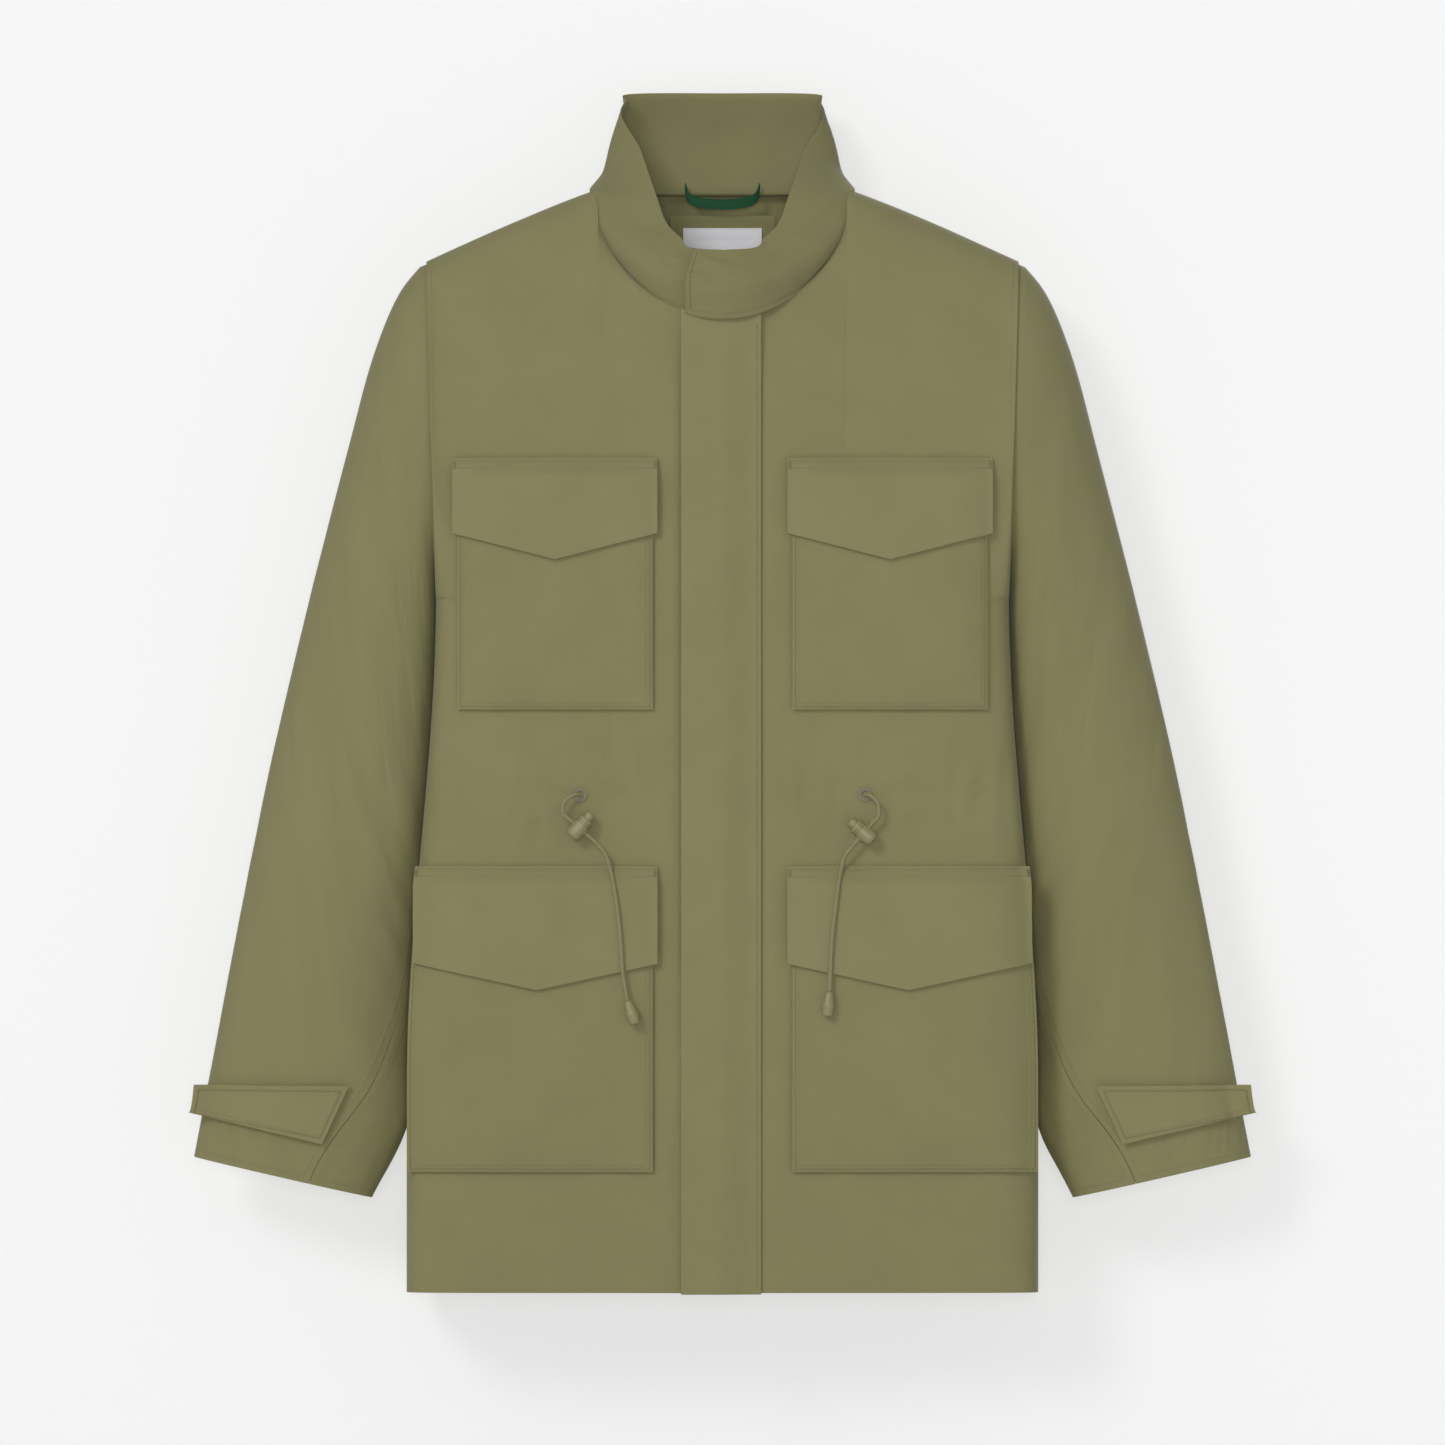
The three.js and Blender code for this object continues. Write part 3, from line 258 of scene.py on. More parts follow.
@dataclass(frozen=True)
class WovenCloth:
    """A plain-weave cloth.

    Its map is in metres along the threads. The attribute "seam" is the distance in millimetres to a sewn edge,
    and "crease" is how sharply the cloth is creased there, from 0 to 1.
    """

    name: str
    colour: str
    dark: str
    thread_mm: float = 0.9
    roughness: float = 0.78
    sheen: float = 0.12
    weave: float = 0.35
    stitch_mm: float = 5.0
    allowance_mm: float = 6.5
    crinkle_mm: float = 0.0

    def material(self) -> bpy.types.Material:
        """Builds the material.

        Returns:
            The node material: mottled colour, weave, a turned-in allowance with a sunk stitch line that is painted
                darker as painted shade in its groove, and creases.
        """
        material, tree = new_material(self.name)
        place = add_node(tree, "ShaderNodeUVMap", uv_map="UVMap").outputs[0]
        seam = add_node(tree, "ShaderNodeAttribute", attribute_name="seam").outputs["Fac"]
        bands = {"Vector": place, "Scale": wave_scale(self.thread_mm)}
        warp = add_node(tree, "ShaderNodeTexWave", bands, bands_direction="X").outputs["Fac"]
        weft = add_node(tree, "ShaderNodeTexWave", bands, bands_direction="Y").outputs["Fac"]
        threads = add_node(tree, "ShaderNodeMath", {0: warp, 1: weft}, operation="MAXIMUM").outputs[0]
        slub, cloud, wander, gather = (
            add_node(tree, "ShaderNodeTexNoise", {"Vector": place, "Scale": scale} | more).outputs["Fac"]
            for scale, more in (
                (420.0, {"Detail": 3.0}),
                (16.0, {"Detail": 4.0, "Roughness": 0.6}),
                (24.0, {"Detail": 1.2, "Roughness": 0.5, "Distortion": 0.35}),
                (130.0, {"Detail": 1.0}),
            )
        )
        # How far a point is from the stitch line, and from the middle of the noise that the folds follow.
        off, wander = (
            add_node(
                tree, "ShaderNodeMath",
                {0: add_node(tree, "ShaderNodeMath", {0: value, 1: middle}, operation="SUBTRACT").outputs[0]},
                operation="ABSOLUTE",
            ).outputs[0]
            for value, middle in ((seam, self.stitch_mm), (wander, 0.5))
        )
        # Each fades from 1 to 0: the sunk stitch line (its groove, and the painted shade laid in it), the doubled
        # allowance, its puckers and a fold's flank.
        sunk, double, near, flank = (
            add_node(
                tree, "ShaderNodeMapRange",
                {"Value": value, "From Min": low, "From Max": high, "To Min": 1.0, "To Max": 0.0},
                interpolation_type=way,
            ).outputs[0]
            for value, low, high, way in (
                (off, 0.2, 1.4, "LINEAR"),
                (seam, self.allowance_mm, self.allowance_mm + 2.0, "LINEAR"),
                (off, 0.0, 9.0, "LINEAR"),
                (wander, 0.0, 0.3, "SMOOTHSTEP"),
            )
        )
        strain = add_node(tree, "ShaderNodeAttribute", attribute_name="crease").outputs["Fac"]
        fold, pucker = (
            add_node(tree, "ShaderNodeMath", {0: a, 1: b}, operation="MULTIPLY").outputs[0]
            for a, b in ((flank, strain), (gather, near))
        )
        shade = add_node(
            tree, "ShaderNodeMapRange",
            {"Value": cloud, "From Min": 0.3, "From Max": 0.7, "To Min": 0.0, "To Max": 0.22},
        ).outputs[0]
        # The sunk stitch line darkens the colour: painted shade in its groove. The slubs and clouds are the yarn's own
        # uneven tone.
        for part in (sunk, slub):
            shade = add_node(
                tree, "ShaderNodeMath", {0: part, 1: 0.16, 2: shade}, operation="MULTIPLY_ADD"
            ).outputs[0]
        shade = add_node(tree, "ShaderNodeMath", {0: shade, 1: 0.08}, operation="SUBTRACT", use_clamp=True).outputs[0]
        tones = {"Factor": shade, "A": linear(self.colour), "B": linear(self.dark)}
        colour = add_node(tree, "ShaderNodeMix", tones, data_type="RGBA")
        # Depths in millimetres of each part of the relief.
        relief = [
            (threads, self.weave * 0.12), (slub, self.weave * 0.10), (sunk, -0.14), (double, 0.22), (pucker, 0.45),
            (fold, 2.1),
        ]
        if self.crinkle_mm:
            cells = {"Vector": place, "Scale": 1000 / self.crinkle_mm, "Randomness": 1.0}
            relief.append((add_node(tree, "ShaderNodeTexVoronoi", cells).outputs["Distance"], 1.6))
        height: bpy.types.NodeSocket | float = 0.0
        for part, depth in relief:
            height = add_node(
                tree, "ShaderNodeMath", {0: part, 1: depth, 2: height}, operation="MULTIPLY_ADD"
            ).outputs[0]
        bump = add_node(tree, "ShaderNodeBump", {"Height": height, "Strength": 0.75, "Distance": 0.001})
        shader = add_node(
            tree,
            "ShaderNodeBsdfPrincipled",
            {
                "Base Color": colour.outputs["Result"],
                "Normal": bump.outputs[0],
                "Roughness": self.roughness,
                "Sheen Weight": self.sheen,
                "Sheen Roughness": 0.5,
                "Specular IOR Level": 0.25,
            },
        )
        add_node(tree, "ShaderNodeOutputMaterial", {"Surface": shader.outputs[0]})
        return material


@dataclass(frozen=True)
class Braid:
    """A round braided cord, its two sets of strands slanting either way."""

    name: str
    colour: str
    dark: str
    strand_mm: float = 1.7

    def material(self) -> bpy.types.Material:
        """Builds the material.

        Returns:
            The node material: two sets of slanted strands that cross, dark in the gaps.
        """
        material, tree = new_material(self.name)
        place = add_node(tree, "ShaderNodeTexCoord").outputs["Object"]
        bands = []
        for turn in (0.9, -0.9):
            turned = add_node(tree, "ShaderNodeMapping", {"Vector": place, "Rotation": (0.0, turn, 0.0)})
            strand = {"Vector": turned.outputs[0], "Scale": wave_scale(self.strand_mm)}
            wave = add_node(tree, "ShaderNodeTexWave", strand, bands_direction="X")
            bands.append(wave.outputs["Fac"])
        strands = add_node(tree, "ShaderNodeMath", {0: bands[0], 1: bands[1]}, operation="MAXIMUM").outputs[0]
        # The gaps between the strands take the dark tone: painted shade in the braid's hollows. The bump gives the
        # strands their relief.
        tones = {"Factor": strands, "A": linear(self.dark), "B": linear(self.colour)}
        colour = add_node(tree, "ShaderNodeMix", tones, data_type="RGBA")
        bump = add_node(tree, "ShaderNodeBump", {"Height": strands, "Strength": 0.7, "Distance": 0.0003})
        shader = add_node(
            tree,
            "ShaderNodeBsdfPrincipled",
            {"Base Color": colour.outputs["Result"], "Normal": bump.outputs[0], "Roughness": 0.7, "Sheen Weight": 0.1},
        )
        add_node(tree, "ShaderNodeOutputMaterial", {"Surface": shader.outputs[0]})
        return material


@dataclass(frozen=True)
class Solid:
    """A moulded plastic or a metal: one colour with fine grain in its roughness and surface."""

    name: str
    colour: str
    dark: str
    roughness: float = 0.42
    metallic: float = 0.0
    grain_mm: float = 0.5
    depth_mm: float = 0.03

    def material(self) -> bpy.types.Material:
        """Builds the material.

        Returns:
            The node material: slightly patchy colour, and a grain that breaks up the gloss.
        """
        material, tree = new_material(self.name)
        place = add_node(tree, "ShaderNodeTexCoord").outputs["Object"]
        grain, patch = (
            add_node(tree, "ShaderNodeTexNoise", {"Vector": place, "Scale": scale, "Detail": 2.0}).outputs["Fac"]
            for scale in (1000 / self.grain_mm, 120.0)
        )
        tones = {"Factor": patch, "A": linear(self.colour), "B": linear(self.dark)}
        colour = add_node(tree, "ShaderNodeMix", tones, data_type="RGBA")
        span = {"Value": grain, "To Min": self.roughness - 0.08, "To Max": self.roughness + 0.1}
        rough = add_node(tree, "ShaderNodeMapRange", span).outputs[0]
        bump = add_node(tree, "ShaderNodeBump", {"Height": grain, "Strength": 0.5, "Distance": self.depth_mm / 1000})
        shader = add_node(
            tree,
            "ShaderNodeBsdfPrincipled",
            {
                "Base Color": colour.outputs["Result"],
                "Normal": bump.outputs[0],
                "Roughness": rough,
                "Metallic": self.metallic,
            },
        )
        add_node(tree, "ShaderNodeOutputMaterial", {"Surface": shader.outputs[0]})
        return material


class Wardrobe:
    """Every finish of the jacket, each built once."""

    def __init__(self) -> None:
        """Builds the materials."""
        # Cotton and nylon poplin, woven close and piece-dyed olive: smooth, matt, with a faint bloom where the
        # light grazes it. The threads are 0.3 mm apart and are drawn at 0.9 mm so that they show. Interlined
        # or fused it is a shade lighter or darker.
        self.shell = WovenCloth("cotton_poplin_dyed_olive", "86825a", "6f6b48").material()
        self.flap = WovenCloth("cotton_poplin_interlined", "88845c", "726e4a", stitch_mm=4.0).material()
        self.collar = WovenCloth("cotton_poplin_fused", "827e57", "6c6846", stitch_mm=4.0).material()
        # Viscose taffeta, plain woven and pressed: thin, limp, crinkled by wear, with a soft gleam.
        self.lining = WovenCloth(
            "viscose_taffeta_lining", "6b6140", "4c442a", roughness=0.45, sheen=0.05, weave=0.15, crinkle_mm=16
        ).material()
        # Damask label, woven close in white satin yarn: bright and even.
        self.label = WovenCloth(
            "woven_label_satin", "eceaed", "dddbe0", thread_mm=0.6, roughness=0.6, stitch_mm=1.5
        ).material()
        # Cotton twill tape, yarn-dyed green: deep and matt, its threads plain to see.
        self.loop = WovenCloth("twill_tape_green", "1b5030", "123820", thread_mm=1.1, stitch_mm=1.2).material()
        # Polyester tape, woven coarse: dark and dry, for the zip, the snaps and the hooks and loops.
        self.tape = WovenCloth(
            "woven_polyester_tape", "4b4632", "37331f", thread_mm=1.0, weave=0.6, stitch_mm=1.5
        ).material()
        # Spun polyester thread, a shade darker than the cloth: a fine dull line along the seams.
        self.thread = Solid("polyester_sewing_thread", "77734e", "6a6643", roughness=0.6, grain_mm=0.3).material()
        # Polyester cord, braided round: strands that catch the light in a slanted lattice, with painted shade in the
        # gaps between them.
        self.cord = Braid("braided_polyester_cord", "908c64", "6a6642").material()
        # Nylon, dyed olive and injection-moulded in a grained tool: an even satin with soft highlights.
        self.nylon = Solid(
            "nylon_moulded_satin", "8f8b64", "868259", roughness=0.4, grain_mm=0.4, depth_mm=0.02
        ).material()
        # Steel, pressed and nickel plated: pale metal with blurred reflections.
        self.steel = Solid(
            "steel_nickel_plated", "a9a9a4", "989892", roughness=0.32, metallic=1.0, depth_mm=0.008
        ).material()
        # Brass, stamped and enamelled to match the cloth: hardly told from it, but smoother.
        self.enamel = Solid("brass_enamelled_olive", "6d6947", "5f5b3c", roughness=0.45, depth_mm=0.01).material()
        # Brass, die-cast onto the tape and tarnished: brownish grey with a low shine.
        self.brass = Solid(
            "zip_teeth_antique", "8a8574", "6f6b5c", roughness=0.38, metallic=1.0, depth_mm=0.01
        ).material()


# ---- The jacket's forms -----------------------------------------------------------------------


@dataclass(frozen=True)
class BodyForm:
    """The outer face of the jacket's body, lying nearly flat as on a hanger."""

    straight: float = 150.0  # height up to which the sides hang straight
    shoulder_drop: float = 52.0
    armhole_depth: float = 45.0
    corner: float = 7.0  # power of the section's rounded corners
    seam: float = 0.1  # half the gap left at the side seam
    front_edge: float = 9.0  # each front stops this far from the centre
    neck_column: float = 5 / 12  # share of the columns that lie inside the neck

    def half_width(self, z: float) -> float:
        """Half the body's width at a height."""
        return lerp(HEM_HALF, CHEST_HALF, ease(z, self.straight, UNDERARM))

    def top_edge(self, face: int, share: float) -> tuple[float, float]:
        """Depth and height of the neck or shoulder seam at a share of the half-width.

        Args:
            face: -1 in front, 1 behind.
            share: -1 to 1 across the shoulders.

        Returns:
            How far the seam stands forward or back, and its height.
        """
        x = abs(share) * SHOULDER_HALF
        if x >= NECK_HALF:
            run = (x - NECK_HALF) / (SHOULDER_HALF - NECK_HALF)
            return 0.0, LENGTH - self.shoulder_drop * run**1.1
        arch = math.sqrt(max(0.0, 1 - (x / NECK_HALF) ** 2))
        if face > 0:
            return NECK_BACK * arch, LENGTH
        return HALF_DEPTH * arch, LENGTH - NECK_DROP * arch

    def point(self, face: int, share: float, level: float) -> Vector:
        """A place on the body.

        Args:
            face: -1 in front, 1 behind.
            share: -1 to 1 across.
            level: 0 at the hem, 1 at the underarm, 2 at the neck and shoulder seams.

        Returns:
            The place in millimetres above the hem.
        """
        arch = (1 - min(1.0, abs(share)) ** self.corner) ** (1 / self.corner)
        if level <= 1:
            z = level * UNDERARM
            return Vector((share * self.half_width(z), face * (self.seam + HALF_DEPTH * arch), z))
        rise = min(1.0, level - 1)
        depth, top = self.top_edge(face, share)
        side = self.armhole_depth * 2 * math.sqrt(rise * (1 - rise))
        roll = 1 - (1 - rise**2.4) ** (1 / 2.4)
        middle = lerp(HALF_DEPTH, depth, roll)
        y = self.seam + middle * arch + abs(share) ** 12 * side * (1 - arch)
        return Vector((share * lerp(CHEST_HALF, SHOULDER_HALF, rise), face * y, lerp(UNDERARM, top, rise)))

    def over(self, face: int, x: float, z: float) -> Vector:
        """The place on a face at a given x and height.

        Args:
            face: -1 in front, 1 behind.
            x: Distance from the centre.
            z: Height above the hem.

        Returns:
            The place on the undraped face.
        """
        if z <= UNDERARM:
            return self.point(face, x / self.half_width(z), max(0.0, z) / UNDERARM)
        level, share = 1.5, 0.0
        for _ in range(10):
            share = x / lerp(CHEST_HALF, SHOULDER_HALF, level - 1)
            level = 1 + (z - UNDERARM) / (self.top_edge(face, share)[1] - UNDERARM)
        return self.point(face, share, level)

    def level_at(self, v: float) -> float:
        """Rows crowd where the cloth turns over the shoulder."""
        return 2 * v if v <= 0.5 else 1 + (1 - math.cos(math.pi * (2 * v - 1))) / 2

    def share_at(self, u: float, start: float) -> float:
        """Columns crowd towards the neck's end of the shoulder seam and the side.

        Args:
            u: 0 at the centre front or back, 1 at the side.
            start: The share of the half-width where the columns begin.

        Returns:
            The share of the half-width.
        """
        neck, column = NECK_HALF / SHOULDER_HALF, self.neck_column
        if u <= column:
            return lerp(start, neck, math.sin(u / column * math.pi / 2))
        return lerp(neck, 1, math.sin((u - column) / (1 - column) * math.pi / 2))

    def front(self, side: Side) -> Surface:
        """The front panel of a side, u growing towards +X.

        Args:
            side: The wearer's side.

        Returns:
            The panel's surface over u and v.
        """

        def place(u: float, v: float) -> Vector:
            """A place on the panel.

            Args:
                u: 0 at the panel's right edge, 1 at its left, as the wearer sees it.
                v: 0 at the hem, 1 at the top.

            Returns:
                The place on the front.
            """
            level = self.level_at(v)
            rim = self.half_width(level * UNDERARM) if level <= 1 else lerp(CHEST_HALF, SHOULDER_HALF, level - 1)
            share = self.share_at(u if side is Side.LEFT else 1 - u, self.front_edge / rim)
            return self.point(-1, side.value * share, level)

        return place

    def back(self, u: float, v: float) -> Vector:
        """The back panel.

        Args:
            u: 0 at the left side, 1 at the right.
            v: 0 at the hem, 1 at the top.

        Returns:
            The place on the back.
        """
        across = 1 - 2 * u
        share = math.copysign(self.share_at(abs(across), 0.0), across)
        return self.point(1, share, self.level_at(v))

    def drape(self, x: float, z: float, face: int = -1) -> float:
        """How far the cloth stands off its plain form: hang, waist gathers and puckers beside the fly.

        Args:
            x: Distance from the centre.
            z: Height above the hem.
            face: -1 in front, 1 behind.

        Returns:
            Millimetres outwards.
        """
        wide = self.half_width(min(z, UNDERARM))
        hang = 2.2 * ripple(x / 95, z / 150, 1.3 * face) + 0.9 * ripple(x / 34 + z / 170, z / 85, 4.1 * face)
        gather = 2.1 * hump(z, WAIST + 2, 42) * ripple(x / 9.5, z / 60, 7.7 * face) * ease(abs(x), 36, 62)
        draw = -1.2 * hump(z, WAIST, 10)
        if face < 0:
            draw = -1.8 * hump(z, WAIST, 9) * ease(abs(x), 30, 70)
        pucker = 1.2 * hump(x, FLY_EDGE - 14, 9) * hump(z, 105, 60) * ripple(x / 20, (z + x) / 13, 2.2)
        pull = 1.1 * hump(abs(x), 205, 26) * ripple(x / 60, z / 16, 5.5) * ease(z, 150, 260)
        edge = 1 - (min(1.0, abs(x) / wide)) ** 14
        calm = 0.25 + 0.75 * ease(abs(x), 24, 52)
        neck = 1 - 0.85 * ease(z, 640, 720)
        still = 1 - math.exp(-(((abs(x) - EYELET_X) / 15) ** 2) - ((z - WAIST + 8) / 22) ** 2)
        soft = (hang + gather + draw + pucker + pull) * edge * calm * neck * (0.35 + 0.65 * ease(z, 0, 40))
        if face > 0:
            return soft
        # The front rises to meet the fly's free edge on the right, and its sewn edge on the left.
        beside = 4.4 * ease(x, -84, -34) * (1 - ease(x, -29.5, -25))
        beside += 2.0 * ease(x, 27, 31) * (1 - ease(x, 31, 84))
        return soft * still + beside * still * (1 - ease(z, 640, 698))

    def crease(self, point: Vector) -> float:
        """How sharply the front is creased: at the waist, beside the fly, round the eyelets and at the side.

        Args:
            point: A place on the front.

        Returns:
            0 for smooth cloth, 1 for the sharpest creases.
        """
        x, z = abs(point.x), point.z
        waist = 0.9 * hump(z, WAIST - 6, 30) * ease(x, 40, 60)
        fly = 1.0 * hump(point.x, FLY_EDGE - 12, 9) * hump(z, 110, 75)
        hole = 0.9 * math.exp(-(((x - EYELET_X) / 16) ** 2) - ((z - WAIST) / 16) ** 2)
        side = 0.5 * ease(x, 186, 205) * hump(z, 420, 120)
        return 0.07 + min(1.0, waist + fly + hole + side)

    def on_front(self, x: float, z: float) -> tuple[Vector, Vector]:
        """A place on the draped front, and its outward normal.

        Args:
            x: Distance from the centre.
            z: Height above the hem.

        Returns:
            The place and the unit normal.
        """
        step = 0.5
        across = self.over(-1, x + step, z) - self.over(-1, x - step, z)
        up = self.over(-1, x, z + step) - self.over(-1, x, z - step)
        normal = across.cross(up).normalized()
        return self.over(-1, x, z) + normal * self.drape(x, z), normal


@dataclass
class SleeveForm:
    """A hanging sleeve with a flat oval section."""

    cuff_tilt: float = math.radians(12.9)
    cuff_width: float = 132.0
    cuff_depth: float = 26.0
    armhole_depth: float = 45.0
    under_turn: float = math.radians(-125)  # where the back seam runs
    reach: float = 168.0  # the cuff's outer corner, out from the shoulder point
    drop: float = 647.0  # and down from it
    tuck: float = 4.2

    def __post_init__(self) -> None:
        """Draws the outer and the inner line."""
        body = BodyForm()
        self.corner = Vector((SHOULDER_HALF + self.reach, 0, SHOULDER_POINT - self.drop))
        inner = self.corner - Vector((math.cos(self.cuff_tilt), 0, math.sin(self.cuff_tilt))) * self.cuff_width
        top = Vector((SHOULDER_HALF + 1.3, 0, SHOULDER_POINT))
        under = Vector((CHEST_HALF - 0.6, 0, UNDERARM))
        out = [(19, 22), (37, 64), (57, 137)]
        self.outer = Curve(
            [top]
            + [Vector((SHOULDER_HALF + x, 0, SHOULDER_POINT - z)) for x, z in out]
            + [top.lerp(self.corner, 0.55) + Vector((18, 0, 0)), self.corner]
        )
        beside = []
        for share in (0.1, 0.25, 0.42, 0.6, 0.76, 0.87):
            z = lerp(under.z, inner.z, share)
            beside.append(Vector((body.half_width(z) - 1.4, 0, z)))
        self.inner = Curve([under] + beside + [inner])

    def point(self, side: Side, turn: float, along: float) -> Vector:
        """A place on the sleeve: turn is 0 on the outer line, a quarter turn in front.

        Args:
            side: The wearer's side.
            turn: Radians round the sleeve, 0 on the outer line.
            along: 0 at the shoulder, 1 at the cuff.

        Returns:
            The place on the plain form.
        """
        outer, inner = self.outer.along(along), self.inner.along(along)
        depth = lerp(self.armhole_depth, self.cuff_depth, max(0.0, along) ** 0.8)
        place = (outer + inner) / 2 + (outer - inner) / 2 * math.cos(turn)
        return Vector((side.value * place.x, -depth * math.sin(turn), place.z))

    def tucked(self, side: Side, turn: float, along: float) -> Vector:
        """The sleeve's cloth, tucked under the armhole's edge at its head.

        Args:
            side: The wearer's side.
            turn: Radians round the sleeve.
            along: 0 at the shoulder, 1 at the cuff.

        Returns:
            The place, drawn in at the sleeve's head.
        """
        place = self.point(side, turn, along)
        tuck = 1 - ease(along, 0.0, 0.007)
        middle = (self.outer.along(along) + self.inner.along(along)) / 2
        place.x -= side.value * self.tuck * tuck
        place.y *= 1 - 0.05 * tuck
        place.z = lerp(place.z, middle.z, 0.008 * tuck)
        return place

    def seam_turn(self, along: float) -> float:
        """Where the front seam runs: it leaves the inner edge below the elbow and comes forward to the cuff."""
        return math.radians(lerp(168, 107.5, ease(along, 0.55, 1)))

    def drape(self, side: Side, turn: float, along: float) -> float:
        """Soft folds: long ones down the arm, slanted ones at the elbow and short ones above the cuff.

        Args:
            side: The wearer's side.
            turn: Radians round the sleeve.
            along: 0 at the shoulder, 1 at the cuff.

        Returns:
            Millimetres outwards.
        """
        seed = 3.0 * side.value
        hang = 2.6 * ripple(turn * 0.9, along * 5, seed) + 1.1 * ripple(turn * 2.2 + along * 5, along * 9, seed + 5)
        elbow = 1.7 * hump(along, 0.5, 0.17) * ripple(turn * 1.4 - along * 9, along * 17, seed + 9)
        cuff = 1.3 * hump(along, 0.93, 0.08) * ripple(turn * 6, along * 10, seed + 2)
        return (hang + elbow + cuff) * ease(along, 0.0, 0.05) * (1 - 0.6 * ease(along, 0.95, 1.0))

    def place_at(self, x: float, z: float) -> tuple[float, float]:
        """The turn and the share along of a place on the sleeve's front.

        Args:
            x: Distance from the centre.
            z: Height above the hem.

        Returns:
            The turn in radians and the share along the sleeve.
        """
        low, high = 0.3, 1.0
        for _ in range(26):
            along = (low + high) / 2
            outer, inner = self.outer.along(along), self.inner.along(along)
            above = (outer.x - inner.x) * (z - inner.z) - (outer.z - inner.z) * (x - inner.x)
            low, high = (low, along) if above > 0 else (along, high)
        outer, inner = self.outer.along(low), self.inner.along(low)
        across = 2 * (x - inner.x) / (outer.x - inner.x) - 1
        return math.acos(max(-1.0, min(1.0, across))), low


def sleeve_crease(point: Vector) -> float:
    """How sharply a sleeve is creased: at the elbow, under the arm and above the cuff.

    Args:
        point: A place on the sleeve.

    Returns:
        0 for smooth cloth, 1 for the sharpest creases.
    """
    elbow = 0.25 * hump(point.z, 400, 90)
    cuff = 0.40 * hump(point.z, 118, 26)
    under = 0.20 * hump(point.z, 500, 50) * (1 - ease(abs(point.x), 225, 262))
    return 0.06 + elbow + cuff + under


BODY = BodyForm()
SLEEVE = SleeveForm()
BODY_HEART = Vector((0, 0, UNDERARM))


# ---- Cutting and sewing -----------------------------------------------------------------------


